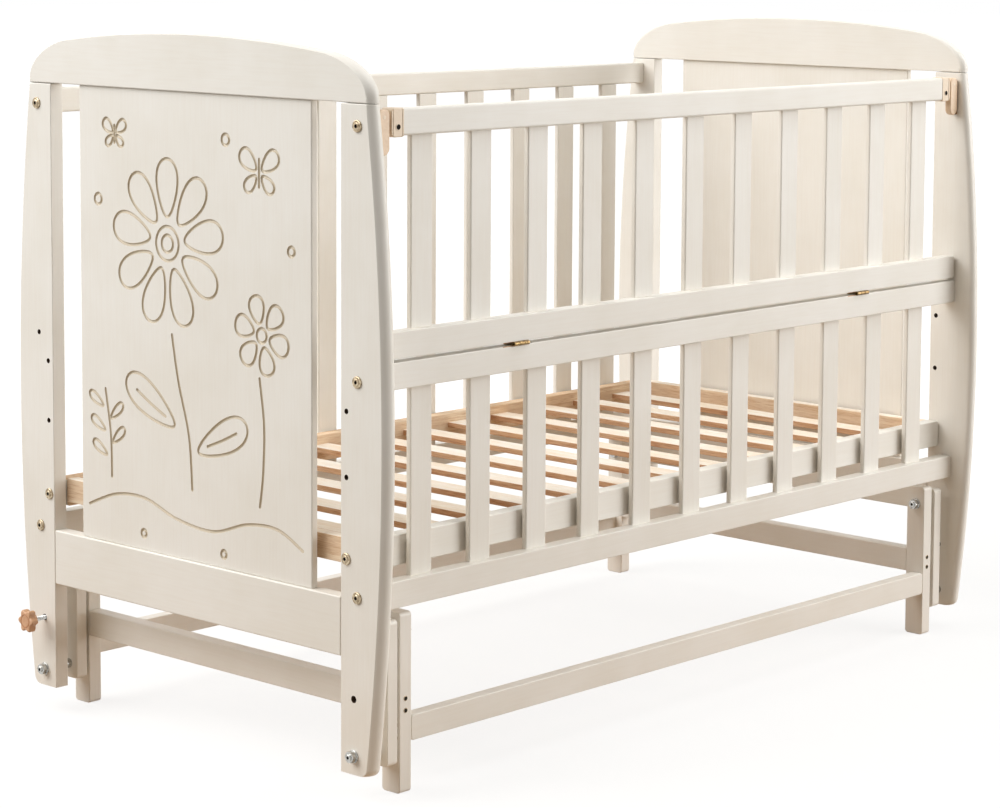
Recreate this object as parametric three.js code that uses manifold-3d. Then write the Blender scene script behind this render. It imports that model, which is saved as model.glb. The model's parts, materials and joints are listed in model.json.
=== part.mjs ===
// A wooden crib with a folding front side and a cross-swing stand.
// Millimetres, +Z up, +X along the crib, the folding side towards -Y.
// The origin is on the floor, under the middle of the whole object.

import * as THREE from "three";
import { mergeVertices } from "three/addons/utils/BufferGeometryUtils.js";
import Module from "manifold-3d";

// Space for the mattress, between the two ends and between the two long sides
const MATTRESS_LENGTH = 1200;
const MATTRESS_WIDTH = 600;
const MATTRESS_END_ROOM = 2;

// Clearances
const SEAT_GAP = 0.2; // between two pieces that are fixed to each other
const HOLE_GAP = 0.45; // round a bolt or pin, on the radius
const SLIDE_GAP = 1; // between two pieces that pass each other

// The two ends: posts with curved outer edges, a cap, a board and a bottom rail
const END_THICKNESS = 20;
const POST_LAP = 23; // how far a post reaches in front of the mattress space
const POST_FOOT_WIDTH = 51;
const POST_BELLY_WIDTH = 77;
const POST_HEAD_WIDTH = 50;
const POST_BOTTOM = 35;
const POST_TOP = 846;
const POST_FOOT_ROUND = 10;
const CAP_HEIGHT = 73;
const CAP_END_HEIGHT = 6;
const CAP_CORNER = 48;
const END_EDGE_ROUND = 9; // outer edges of posts and caps
const BOARD_THICKNESS = 10;
const BOARD_SETBACK = 4; // board face behind the post's outer face
const BOARD_POST_GAP = 55; // open gap between a board and a post
const BOARD_EDGE_ROUND = 3;
const END_RAIL_BOTTOM = 177;
const END_RAIL_HEIGHT = 73;

// The long sides
const SIDE_THICKNESS = 20;
const RAIL_HEIGHT = 33;
const SIDE_BOTTOM = 233.5;
const SIDE_BELOW_POST_TOP = 7.5;
const FOLD_HEIGHT = 535.5; // middle of the gap that the front folds at
const FOLD_GAP = 4;
const FOLD_END_ROOM = 2; // from the folding section's bottom rail to a post
const RAIL_EDGE_ROUND = 3;
const TOP_RAIL_EDGE_ROUND = 5;
const SLAT_COUNT = 11;
const SLAT_WIDTH = 37;
const SLAT_THICKNESS = 8;
const SLAT_INSET = 0.5; // slat's inner face behind the rail's inner face
const SLAT_EDGE_ROUND = 2.5;

// The mattress base, bolted at the lowest of its heights
const BASE_BOLT_HEIGHTS = [298, 397, 477];
const BASE_SIDE_ROOM = 3; // from the base to a long side
const BASE_END_ROOM = 2; // from the base to an end
const BASE_RAIL_THICKNESS = 20;
const BASE_RAIL_HEIGHT = 38;
const BASE_SLAT_COUNT = 12;
const BASE_SLAT_WIDTH = 37;
const BASE_SLAT_THICKNESS = 8;
const BASE_SLAT_DROP = 13; // slats' tops below the rails' tops
const BASE_SLAT_ROUND = 2;

// The stand
const LEG_THICKNESS = 20;
const LEG_WIDTH = 31;
const LEG_ABOVE_PIVOT = 26;
const LEG_CORNER = 7;
const LONG_STRETCHER_THICKNESS = 18;
const LONG_STRETCHER_HEIGHT = 32;
const LONG_STRETCHER_BOTTOM = 63;
const END_STRETCHER_HEIGHT = 35;
const END_STRETCHER_BOTTOM = 94;
const STRETCHER_EDGE_ROUND = 3;

// The links that the body swings on, and their pivots
const PIVOT_HIGH = 199;
const PIVOT_LOW = 58;
const LINK_THICKNESS = 17;
const LINK_WIDTH = 34;
const LINK_PAST_PIVOT = 20;
const LINK_CORNER = 14;
const LINK_TO_POST = 20; // filled by a spacer
const LEG_TO_LINK = 5; // filled by a washer
const PIVOT_BOLT_RADIUS = 4;
const PIVOT_HEAD_RADIUS = 8;
const PIVOT_HEAD_HEIGHT = 3.5;
const PIVOT_NUT_RADIUS = 7.5; // over the corners
const PIVOT_NUT_HEIGHT = 6.5;
const PIVOT_BOLT_END = 2; // thread that stands out of the nut
const WASHER_RADIUS = 8.8;
const WASHER_THICKNESS = 1.5;
const SPACER_RADIUS = 10;

// Bolts through the posts
const BOLT_RADIUS = 3;
const BOLT_HEAD_RADIUS = 7.5;
const BOLT_HEAD_HEIGHT = 3.2;
const BOLT_SOCKET_RADIUS = 2.4;
const BOLT_SOCKET_DEPTH = 2;
const BOLT_LENGTH = 60;
const RAIL_BOLT_INSET = 6; // bolt's axis from the side's inner face
const RAIL_BOLT_SHIFT = 3; // bolt's axis from the rail's middle, towards the slats

// The lock: a threaded stud with a star knob, at the back left post
const LOCK_HEIGHT = 128;
const LOCK_STANDOFF = 18; // from the post to the knob's hub, unscrewed
const LOCK_TIP_PAST_POST = 1.5; // stud's tip beyond the post's inner face, unscrewed
const STUD_IN_KNOB = 9;
const KNOB_RADIUS = 16;
const KNOB_LOBES = 6;
const KNOB_LOBE_DEPTH = 4;
const KNOB_THICKNESS = 11;
const KNOB_HUB_LENGTH = 4;
const KNOB_HUB_RADIUS = 8;
const KNOB_EDGE_ROUND = 2.5;

// The latches on the folding section's top corners
const STRIKE_THICKNESS = 1.5;
const STRIKE_WIDTH = 16;
const STRIKE_HEIGHT = 51;
const STRIKE_BELOW_TOP = 4.5;
const LEVER_WIDTH = 17;
const LEVER_HEIGHT = 53;
const LEVER_THICKNESS = 10;
const LEVER_FACE_SETBACK = 0.5; // lever's face behind the rail's face
const LEVER_BELOW_TOP = 4.5;
const LEVER_PIN_BELOW_TOP = 10;
const LEVER_PIN_RADIUS = 2.5;
const LEVER_ROOM = 3.8; // to the end cap, for the lever's tilt
const END_CAP_LENGTH = 18;
const END_CAP_EAR_HEIGHT = 22;
const END_CAP_CORNER = 5;

// The front's two hinges
const HINGE_X = [-354, 365.5];
const HINGE_PROUD = 1.5; // axis in front of the side's face
const HINGE_BARREL_RADIUS = 2.9;
const HINGE_BARREL_LENGTH = 28;
const HINGE_KNUCKLES = 3;
const HINGE_KNUCKLE_GAP = 0.4;
const HINGE_PIN_RADIUS = 1.2;
const HINGE_LEAF_THICKNESS = 1.4;
const HINGE_LEAF_DEPTH = 14;
const HINGE_SLOT_LENGTH = 17; // mortise left open beside the barrel

// How finely round shapes are faceted
const CORNER_STEPS = 3;
const BOLT_SIDES = 12; // of bolts and of the holes round them
const POST_STEPS = 10;
const CAP_ARC_STEPS = 14;
const KNOB_STEPS = 6; // round each of its lobes

// Places that follow from the sizes
const FRONT = -1;
const BACK = 1;
const LEFT = -1;
const RIGHT = 1;
const clearHalf = MATTRESS_LENGTH / 2 + MATTRESS_END_ROOM;
const endOuter = clearHalf + END_THICKNESS;
const sideInner = MATTRESS_WIDTH / 2;
const sideOuter = sideInner + SIDE_THICKNESS;
const postInner = sideInner - POST_LAP;
const sideTop = POST_TOP - SIDE_BELOW_POST_TOP;
const capHalfWidth = postInner + POST_HEAD_WIDTH;
const linkOuter = clearHalf - LINK_TO_POST;
const linkInner = linkOuter - LINK_THICKNESS;
const legOuter = linkInner - LEG_TO_LINK;
const legInner = legOuter - LEG_THICKNESS;
const legTop = PIVOT_HIGH + LEG_ABOVE_PIVOT;
const pivotY = sideInner;
const legFace = pivotY + LEG_WIDTH / 2;
const legBack = pivotY - LEG_WIDTH / 2;
const baseOuter = sideInner - BASE_SIDE_ROOM;
const baseInner = baseOuter - BASE_RAIL_THICKNESS;
const baseBoltY = (baseOuter + baseInner) / 2;
const baseTop = BASE_BOLT_HEIGHTS[0] + BASE_RAIL_HEIGHT / 2;
const railBoltY = sideInner + RAIL_BOLT_INSET;
const lowerTopRailTop = FOLD_HEIGHT - FOLD_GAP / 2;
const upperRailBottom = FOLD_HEIGHT + FOLD_GAP / 2;
const hingeAxisY = -(sideOuter + HINGE_PROUD);
const nutReach = WASHER_THICKNESS + PIVOT_NUT_HEIGHT + PIVOT_BOLT_END;
const knobReach = LOCK_STANDOFF + KNOB_HUB_LENGTH + KNOB_THICKNESS;
const centreShift = (knobReach - nutReach) / 2;
const leverOuter = clearHalf - SEAT_GAP - STRIKE_THICKNESS - SLIDE_GAP;
const leverInner = leverOuter - LEVER_WIDTH;
const leverPinX = (leverOuter + leverInner) / 2;
const leverPinZ = sideTop - LEVER_PIN_BELOW_TOP;
const endCapOuter = leverInner - LEVER_ROOM;
const topRailHalf = endCapOuter - END_CAP_LENGTH;

const wasm = await Module();
wasm.setup();

// Geometry helpers

const X = new THREE.Vector3(1, 0, 0);
const Y = new THREE.Vector3(0, 1, 0);
const Z = new THREE.Vector3(0, 0, 1);

// An outline drawn in (y, z), (z, x) or (x, y) is pushed along the third axis.
const ALONG = {
  x: new THREE.Matrix4().makeBasis(Y, Z, X),
  y: new THREE.Matrix4().makeBasis(Z, X, Y),
  z: new THREE.Matrix4().makeBasis(X, Y, Z),
};

function prism(axis, from, to, points) {
  const depth = to - from;
  const shape = new THREE.Shape(points);
  const geometry = new THREE.ExtrudeGeometry(shape, { depth, bevelEnabled: false });
  geometry.translate(0, 0, from);
  geometry.applyMatrix4(ALONG[axis]);
  return geometry;
}

function arc(u, v, radius, from, to, steps) {
  const points = [];
  for (let i = 0; i <= steps; i++) {
    const a = from + ((to - from) * i) / steps;
    points.push(new THREE.Vector2(u + radius * Math.cos(a), v + radius * Math.sin(a)));
  }
  return points;
}

function circle(u, v, radius, sides) {
  return arc(u, v, radius, 0, 2 * Math.PI, sides).slice(0, -1);
}

function roundedRectangle(u0, u1, v0, v1, radius) {
  const quarter = Math.PI / 2;
  return [
    ...arc(u1 - radius, v0 + radius, radius, -quarter, 0, CORNER_STEPS),
    ...arc(u1 - radius, v1 - radius, radius, 0, quarter, CORNER_STEPS),
    ...arc(u0 + radius, v1 - radius, radius, quarter, 2 * quarter, CORNER_STEPS),
    ...arc(u0 + radius, v0 + radius, radius, 2 * quarter, 3 * quarter, CORNER_STEPS),
  ];
}

function rod(axis, from, to, u, v, radius, sides = BOLT_SIDES) {
  return prism(axis, from, to, circle(u, v, radius, sides));
}

function block(x0, x1, y0, y1, z0, z1) {
  const geometry = new THREE.BoxGeometry(x1 - x0, y1 - y0, z1 - z0);
  geometry.translate((x0 + x1) / 2, (y0 + y1) / 2, (z0 + z1) / 2);
  return geometry;
}

// A closed skin over rings that have the same number of points, the first and the last one convex.
function loft(rings) {
  const count = rings[0].length;
  const faces = [];
  for (let i = 1; i < count - 1; i++) {
    faces.push(0, i + 1, i);
  }
  for (let r = 0; r < rings.length - 1; r++) {
    for (let i = 0; i < count; i++) {
      const a = r * count + i;
      const b = r * count + ((i + 1) % count);
      faces.push(a, b, b + count, a, b + count, a + count);
    }
  }
  const last = (rings.length - 1) * count;
  for (let i = 1; i < count - 1; i++) {
    faces.push(last, last + i, last + i + 1);
  }
  const geometry = new THREE.BufferGeometry().setFromPoints(rings.flat());
  geometry.setIndex(faces);
  return geometry;
}

function toSolid(geometry) {
  const bare = new THREE.BufferGeometry();
  bare.setAttribute("position", geometry.getAttribute("position"));
  bare.setIndex(geometry.index);
  const merged = mergeVertices(bare, 1e-3);
  const vertProperties = merged.getAttribute("position").array;
  const triVerts = new Uint32Array(merged.index.array);
  return new wasm.Manifold(new wasm.Mesh({ numProp: 3, vertProperties, triVerts }));
}

function fromSolid(solid) {
  const mesh = solid.getMesh();
  const geometry = new THREE.BufferGeometry();
  geometry.setAttribute("position", new THREE.BufferAttribute(mesh.vertProperties, 3));
  geometry.setIndex(new THREE.BufferAttribute(mesh.triVerts, 1));
  return geometry;
}

function join(...pieces) {
  return fromSolid(pieces.map(toSolid).reduce((a, b) => a.add(b)));
}

function cut(piece, ...tools) {
  return fromSolid(tools.map(toSolid).reduce((a, b) => a.subtract(b), toSolid(piece)));
}

// Materials

function material(color, roughness, metalness = 0) {
  return new THREE.MeshStandardMaterial({ color, roughness, metalness });
}

const ivoryPaint = material(0xefe6d6, 0.45);
const rawBeech = material(0xe3c299, 0.7);
const beigePlastic = material(0xe4cba9, 0.4);
const tanPlastic = material(0xcda279, 0.45);
const brownPlastic = material(0x8a6645, 0.5);
const zincSteel = material(0xb9b8b2, 0.35, 1);
const bronze = material(0x9a8664, 0.4, 1);
const brass = material(0xb59a63, 0.35, 1);

const crib = new THREE.Group();
crib.position.x = centreShift;

function add(name, geometry, look, parent = crib) {
  const flat = geometry.index ? geometry.toNonIndexed() : geometry;
  flat.computeVertexNormals();
  const mesh = new THREE.Mesh(flat, look);
  mesh.name = name;
  parent.add(mesh);
  return mesh;
}

// A group that mirrors what is drawn for the right end or the back right corner.
function mirrored(sideX, sideY) {
  const group = new THREE.Group();
  group.scale.set(sideX, sideY, 1);
  crib.add(group);
  return group;
}

// Posts

// A post's outer edge bulges between foot and head, and its foot's corner is rounded.
function postOuterEdge(z) {
  const t = (z - POST_BOTTOM) / (POST_TOP - POST_BOTTOM);
  const straight = POST_FOOT_WIDTH + (POST_HEAD_WIDTH - POST_FOOT_WIDTH) * t;
  const bulge = POST_BELLY_WIDTH - (POST_FOOT_WIDTH + POST_HEAD_WIDTH) / 2;
  const above = Math.min(z - POST_BOTTOM, POST_FOOT_ROUND);
  const lift = POST_FOOT_ROUND - above;
  const rounding = POST_FOOT_ROUND - Math.sqrt(POST_FOOT_ROUND ** 2 - lift ** 2);
  return postInner + straight + 4 * bulge * t * (1 - t) - rounding;
}

function postRing(z) {
  const round = END_EDGE_ROUND;
  const y = postOuterEdge(z) - round;
  const ring = [
    new THREE.Vector2(clearHalf, postInner),
    new THREE.Vector2(endOuter, postInner),
    ...arc(endOuter - round, y, round, 0, Math.PI / 2, CORNER_STEPS),
    ...arc(clearHalf + round, y, round, Math.PI / 2, Math.PI, CORNER_STEPS),
  ];
  return ring.map((p) => new THREE.Vector3(p.x, p.y, z));
}

function postHeights() {
  const heights = [];
  for (let i = 0; i < CORNER_STEPS; i++) {
    heights.push(POST_BOTTOM + POST_FOOT_ROUND * (1 - Math.cos((i * Math.PI) / 2 / CORNER_STEPS)));
  }
  const start = POST_BOTTOM + POST_FOOT_ROUND;
  for (let i = 0; i <= POST_STEPS; i++) {
    heights.push(start + ((POST_TOP - start) * i) / POST_STEPS);
  }
  return heights;
}

// The rail bolts' heights, top, middle and bottom.
function railBoltHeights() {
  return [
    sideTop - RAIL_HEIGHT / 2 - RAIL_BOLT_SHIFT,
    lowerTopRailTop - RAIL_HEIGHT / 2 - RAIL_BOLT_SHIFT,
    SIDE_BOTTOM + RAIL_HEIGHT / 2 + RAIL_BOLT_SHIFT,
  ];
}

function throughEnd(y, z, radius) {
  return rod("x", clearHalf - SLIDE_GAP, endOuter + SLIDE_GAP, y, z, radius + HOLE_GAP);
}

function post() {
  const holes = [
    ...railBoltHeights().map((z) => throughEnd(railBoltY, z, BOLT_RADIUS)),
    ...BASE_BOLT_HEIGHTS.map((z) => throughEnd(baseBoltY, z, BOLT_RADIUS)),
    throughEnd(pivotY, LOCK_HEIGHT, PIVOT_BOLT_RADIUS),
    throughEnd(pivotY, PIVOT_LOW, PIVOT_BOLT_RADIUS),
  ];
  return cut(loft(postHeights().map(postRing)), ...holes);
}

// End caps, boards and end rails

// The cap's outline in (y, z): flat below, short straight ends, round corners and a flat arc over.
function capOutline(inset) {
  const half = capHalfWidth - inset;
  const corner = CAP_CORNER - inset;
  const cornerY = half - corner;
  const cornerZ = POST_TOP + SEAT_GAP + CAP_END_HEIGHT;
  const rise = POST_TOP + CAP_HEIGHT - inset - cornerZ;
  const radius = (cornerY ** 2 + rise ** 2 - corner ** 2) / (2 * (rise - corner));
  const centreZ = cornerZ + rise - radius;
  const lean = Math.asin(cornerY / (radius - corner));
  const up = Math.PI / 2;
  return [
    new THREE.Vector2(-half, POST_TOP + SEAT_GAP),
    new THREE.Vector2(half, POST_TOP + SEAT_GAP),
    ...arc(cornerY, cornerZ, corner, 0, up - lean, 2 * CORNER_STEPS),
    ...arc(0, centreZ, radius, up - lean, up + lean, CAP_ARC_STEPS).slice(1, -1),
    ...arc(-cornerY, cornerZ, corner, up + lean, 2 * up, 2 * CORNER_STEPS),
  ];
}

function cap() {
  const rings = [];
  const quarter = Math.PI / 2;
  for (let i = 0; i <= 2 * CORNER_STEPS + 1; i++) {
    const outward = i > CORNER_STEPS;
    const step = outward ? 2 * CORNER_STEPS + 1 - i : i;
    const a = (quarter * step) / CORNER_STEPS;
    const inset = END_EDGE_ROUND * (1 - Math.sin(a));
    const depth = END_EDGE_ROUND * (1 - Math.cos(a));
    const x = outward ? endOuter - depth : clearHalf + depth;
    rings.push(capOutline(inset).map((p) => new THREE.Vector3(x, p.x, p.y)));
  }
  return loft(rings);
}

function board() {
  const half = postInner - BOARD_POST_GAP;
  const outer = endOuter - BOARD_SETBACK;
  const outline = roundedRectangle(outer - BOARD_THICKNESS, outer, -half, half, BOARD_EDGE_ROUND);
  return prism("z", END_RAIL_BOTTOM + END_RAIL_HEIGHT + SEAT_GAP, POST_TOP, outline);
}

function endRail() {
  const reach = postInner - SEAT_GAP;
  const top = END_RAIL_BOTTOM + END_RAIL_HEIGHT;
  const outline = roundedRectangle(END_RAIL_BOTTOM, top, clearHalf, endOuter, RAIL_EDGE_ROUND);
  return prism("y", -reach, reach, outline);
}

// Long sides

// The near and far faces of a board that runs along a side, in rising order.
function across(side, inner, outer) {
  return side === FRONT ? [-outer, -inner] : [inner, outer];
}

function rail(side, half, bottom, round) {
  const [y0, y1] = across(side, sideInner, sideOuter);
  return prism("x", -half, half, roundedRectangle(y0, y1, bottom, bottom + RAIL_HEIGHT, round));
}

// Slats from inside a rail up to just below the rail above, evenly spread between the posts.
function slats(side, bottom, top) {
  const inner = sideInner + SLAT_INSET;
  const [y0, y1] = across(side, inner, inner + SLAT_THICKNESS);
  const gap = (2 * clearHalf - SLAT_COUNT * SLAT_WIDTH) / (SLAT_COUNT + 1);
  return Array.from({ length: SLAT_COUNT }, (_, i) => {
    const left = -clearHalf + gap + i * (gap + SLAT_WIDTH);
    const outline = roundedRectangle(left, left + SLAT_WIDTH, y0, y1, SLAT_EDGE_ROUND);
    return prism("z", bottom, top, outline);
  });
}

// A bottom rail and the slats that are glued into it.
function slattedRail(side, half, bottom, slatTop) {
  const fitted = slats(side, bottom + RAIL_HEIGHT / 2, slatTop - SEAT_GAP);
  return join(rail(side, half, bottom, RAIL_EDGE_ROUND), ...fitted);
}

// Room for the hinges in a front rail: a groove round each barrel, open at its left.
function hingeGrooves() {
  const radius = HINGE_BARREL_RADIUS + HOLE_GAP;
  const half = HINGE_BARREL_LENGTH / 2 + HINGE_KNUCKLE_GAP;
  return HINGE_X.map((x) => {
    const left = x - half - HINGE_SLOT_LENGTH;
    return rod("x", left, x + half, hingeAxisY, FOLD_HEIGHT, radius);
  });
}

function addLongSides() {
  const fixedHalf = clearHalf - SEAT_GAP;
  const foldingHalf = clearHalf - FOLD_END_ROOM;
  const topRailBottom = sideTop - RAIL_HEIGHT;
  const lowerTopRailBottom = lowerTopRailTop - RAIL_HEIGHT;
  const grooves = hingeGrooves();

  add("back_top_rail", rail(BACK, fixedHalf, topRailBottom, TOP_RAIL_EDGE_ROUND), ivoryPaint);
  add("back_slats_and_bottom_rail", slattedRail(BACK, fixedHalf, SIDE_BOTTOM, topRailBottom), ivoryPaint);

  const lowerTop = cut(rail(FRONT, fixedHalf, lowerTopRailBottom, RAIL_EDGE_ROUND), ...grooves);
  add("front_lower_top_rail", lowerTop, ivoryPaint);
  const lowerSlats = slattedRail(FRONT, fixedHalf, SIDE_BOTTOM, lowerTopRailBottom);
  add("front_lower_slats_and_bottom_rail", lowerSlats, ivoryPaint);

  const foldingTop = rail(FRONT, topRailHalf - SEAT_GAP, topRailBottom, TOP_RAIL_EDGE_ROUND);
  add("folding_top_rail", foldingTop, ivoryPaint);
  const foldingSlats = slattedRail(FRONT, foldingHalf, upperRailBottom, topRailBottom);
  add("folding_slats_and_bottom_rail", cut(foldingSlats, ...grooves), ivoryPaint);
}

// Latches

// An end cap closes the folding top rail and carries the lever's pin on a thin ear behind the lever.
function endCap() {
  const bottom = sideTop - RAIL_HEIGHT;
  const leverBack = sideOuter - LEVER_FACE_SETBACK - LEVER_THICKNESS;
  const earFace = leverBack - HOLE_GAP;
  const outline = roundedRectangle(bottom, sideTop, topRailHalf, endCapOuter, END_CAP_CORNER);
  const flushEnd = endCapOuter - END_CAP_CORNER;
  const flush = roundedRectangle(bottom, sideTop, topRailHalf, flushEnd, SLAT_EDGE_ROUND);
  const body = prism("y", sideInner, sideOuter, outline);
  const root = prism("y", sideInner, sideOuter, flush);
  const earTop = sideTop - LEVER_BELOW_TOP;
  const earBottom = earTop - END_CAP_EAR_HEIGHT;
  const ear = block(flushEnd, leverOuter - SLIDE_GAP, sideInner, earFace, earBottom, earTop);
  const pinFace = sideOuter - LEVER_FACE_SETBACK;
  const pin = rod("y", sideInner + SLIDE_GAP, pinFace, leverPinZ, leverPinX, LEVER_PIN_RADIUS);
  return join(body, root, ear, pin);
}

// A tongue with a round lower end, drilled for the pin.
function lever() {
  const face = sideOuter - LEVER_FACE_SETBACK;
  const back = face - LEVER_THICKNESS;
  const top = sideTop - LEVER_BELOW_TOP;
  const half = LEVER_WIDTH / 2;
  const low = top - LEVER_HEIGHT + half;
  const corner = half / 2;
  const right = Math.PI / 2;
  const outline = [
    ...arc(low, leverPinX, half, right, 3 * right, 2 * CORNER_STEPS),
    ...arc(top - corner, leverPinX - half + corner, corner, -right, 0, CORNER_STEPS),
    ...arc(top - corner, leverPinX + half - corner, corner, 0, right, CORNER_STEPS),
  ];
  const holeRadius = LEVER_PIN_RADIUS + HOLE_GAP;
  const hole = rod("y", back - SLIDE_GAP, face + SLIDE_GAP, leverPinZ, leverPinX, holeRadius);
  return cut(prism("y", back, face, outline), hole);
}

function strike() {
  const outer = clearHalf - SEAT_GAP;
  const middle = (sideInner + sideOuter) / 2;
  const top = sideTop - STRIKE_BELOW_TOP;
  const y0 = middle - STRIKE_WIDTH / 2;
  return block(outer - STRIKE_THICKNESS, outer, y0, y0 + STRIKE_WIDTH, top - STRIKE_HEIGHT, top);
}

function addLatches() {
  for (const [name, side] of [["left", LEFT], ["right", RIGHT]]) {
    const corner = mirrored(side, FRONT);
    add(`end_cap_${name}`, endCap(), beigePlastic, corner);
    add(`latch_lever_${name}`, lever(), beigePlastic, corner);
    add(`strike_plate_${name}`, strike(), brownPlastic, corner);
  }
}

// Hinges

// The barrel's knuckles from left to right; the lower leaf has the first and the last.
function knuckles(x, lower) {
  const left = x - HINGE_BARREL_LENGTH / 2;
  const pitch = HINGE_BARREL_LENGTH / HINGE_KNUCKLES;
  const spans = [];
  for (let i = lower ? 0 : 1; i < HINGE_KNUCKLES; i += 2) {
    spans.push([left + i * pitch + HINGE_KNUCKLE_GAP / 2, left + (i + 1) * pitch - HINGE_KNUCKLE_GAP / 2]);
  }
  return spans;
}

// A leaf lies on its rail in the fold's gap and reaches out to its own knuckles.
function leaf(x, lower) {
  const half = HINGE_BARREL_LENGTH / 2;
  const rest = FOLD_GAP / 2 - SEAT_GAP;
  const z0 = FOLD_HEIGHT + (lower ? -rest : rest - HINGE_LEAF_THICKNESS);
  const z1 = z0 + HINGE_LEAF_THICKNESS;
  const plateFront = hingeAxisY + HINGE_BARREL_RADIUS + HOLE_GAP;
  const plate = block(x - half, x + half, plateFront, plateFront + HINGE_LEAF_DEPTH, z0, z1);
  const arms = knuckles(x, lower).flatMap(([x0, x1]) => [
    rod("x", x0, x1, hingeAxisY, FOLD_HEIGHT, HINGE_BARREL_RADIUS),
    block(x0, x1, hingeAxisY + HINGE_BARREL_RADIUS / 2, plateFront + SLIDE_GAP, z0, z1),
  ]);
  return join(plate, ...arms);
}

function addHinges() {
  for (const [name, x] of [["left", HINGE_X[0]], ["right", HINGE_X[1]]]) {
    const half = HINGE_BARREL_LENGTH / 2 - HINGE_KNUCKLE_GAP / 2;
    const pin = rod("x", x - half, x + half, hingeAxisY, FOLD_HEIGHT, HINGE_PIN_RADIUS);
    const bore = rod("x", x - half, x + half, hingeAxisY, FOLD_HEIGHT, HINGE_PIN_RADIUS + HOLE_GAP);
    add(`hinge_${name}_lower_leaf`, join(leaf(x, true), pin), brass);
    add(`hinge_${name}_upper_leaf`, cut(leaf(x, false), bore), brass);
  }
}

// Mattress base

function baseRail(side) {
  const half = clearHalf - BASE_END_ROOM;
  const [y0, y1] = across(side, baseInner, baseOuter);
  const outline = roundedRectangle(y0, y1, baseTop - BASE_RAIL_HEIGHT, baseTop, RAIL_EDGE_ROUND);
  return prism("x", -half, half, outline);
}

function baseBoltHoles(side) {
  const deep = endOuter - BOLT_LENGTH - SLIDE_GAP;
  return [[-clearHalf, -deep], [deep, clearHalf]].map(([x0, x1]) =>
    rod("x", x0, x1, side * baseBoltY, BASE_BOLT_HEIGHTS[0], BOLT_RADIUS + HOLE_GAP),
  );
}

// Evenly spread cross slats from inside the back rail to just short of the front rail.
function baseSlats() {
  const half = clearHalf - BASE_END_ROOM;
  const gap = (2 * half - BASE_SLAT_COUNT * BASE_SLAT_WIDTH) / (BASE_SLAT_COUNT + 1);
  const top = baseTop - BASE_SLAT_DROP;
  const bottom = top - BASE_SLAT_THICKNESS;
  return Array.from({ length: BASE_SLAT_COUNT }, (_, i) => {
    const x0 = -half + gap + i * (gap + BASE_SLAT_WIDTH);
    const outline = roundedRectangle(bottom, top, x0, x0 + BASE_SLAT_WIDTH, BASE_SLAT_ROUND);
    return prism("y", -baseInner + SEAT_GAP, baseInner + BASE_RAIL_THICKNESS / 2, outline);
  });
}

function addMattressBase() {
  const slatted = join(baseRail(BACK), ...baseSlats());
  add("mattress_base_front_rail", cut(baseRail(FRONT), ...baseBoltHoles(FRONT)), ivoryPaint);
  add("mattress_base_slats_and_back_rail", cut(slatted, ...baseBoltHoles(BACK)), rawBeech);
}

// A bolt from the post's outer face into the mattress base, with a flanged hex-socket head.
function baseBolt() {
  const z = BASE_BOLT_HEIGHTS[0];
  const seat = endOuter + SEAT_GAP;
  const face = seat + BOLT_HEAD_HEIGHT;
  const shank = rod("x", endOuter - BOLT_LENGTH, seat + SLIDE_GAP, baseBoltY, z, BOLT_RADIUS);
  const head = rod("x", seat, face, baseBoltY, z, BOLT_HEAD_RADIUS, 2 * BOLT_SIDES);
  const socket = rod("x", face - BOLT_SOCKET_DEPTH, face + SLIDE_GAP, baseBoltY, z, BOLT_SOCKET_RADIUS, 6);
  return cut(join(shank, head), socket);
}

// Swing gear, drawn for the back right corner

function pivotHole(x0, x1, z) {
  return rod("x", x0 - SLIDE_GAP, x1 + SLIDE_GAP, pivotY, z, PIVOT_BOLT_RADIUS + HOLE_GAP);
}

function leg() {
  const outline = roundedRectangle(legBack, legFace, 0, legTop, LEG_CORNER);
  const hole = pivotHole(legInner, legOuter, PIVOT_HIGH);
  return cut(prism("x", legInner, legOuter, outline), hole);
}

function link() {
  const half = LINK_WIDTH / 2;
  const bottom = PIVOT_LOW - LINK_PAST_PIVOT;
  const top = PIVOT_HIGH + LINK_PAST_PIVOT;
  const outline = roundedRectangle(pivotY - half, pivotY + half, bottom, top, LINK_CORNER);
  const holes = [PIVOT_LOW, PIVOT_HIGH].map((z) => pivotHole(linkInner, linkOuter, z));
  return cut(prism("x", linkInner, linkOuter, outline), ...holes);
}

// Washer, hex nut and thread end, stacked from a face in the direction given.
function nutStack(face, direction, z) {
  const stack = [
    [WASHER_THICKNESS, WASHER_RADIUS, 2 * BOLT_SIDES],
    [WASHER_THICKNESS + PIVOT_NUT_HEIGHT, PIVOT_NUT_RADIUS, 6],
    [WASHER_THICKNESS + PIVOT_NUT_HEIGHT + PIVOT_BOLT_END, PIVOT_BOLT_RADIUS, BOLT_SIDES],
  ];
  return stack.map(([reach, radius, sides]) => {
    const ends = [face, face + direction * reach].sort((a, b) => a - b);
    return rod("x", ends[0], ends[1], pivotY, z, radius, sides);
  });
}

// Fixed to the leg: nut inside, washer between leg and link, low head outside the link.
function upperPivot() {
  const headSeat = linkOuter + SEAT_GAP;
  const shank = rod("x", legInner - SLIDE_GAP, headSeat + SLIDE_GAP, pivotY, PIVOT_HIGH, PIVOT_BOLT_RADIUS);
  const washer = rod("x", legOuter + SEAT_GAP, linkInner - SEAT_GAP, pivotY, PIVOT_HIGH, WASHER_RADIUS);
  const head = rod("x", headSeat, headSeat + PIVOT_HEAD_HEIGHT, pivotY, PIVOT_HIGH, PIVOT_HEAD_RADIUS);
  return join(shank, washer, head, ...nutStack(legInner - SEAT_GAP, -1, PIVOT_HIGH));
}

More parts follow.
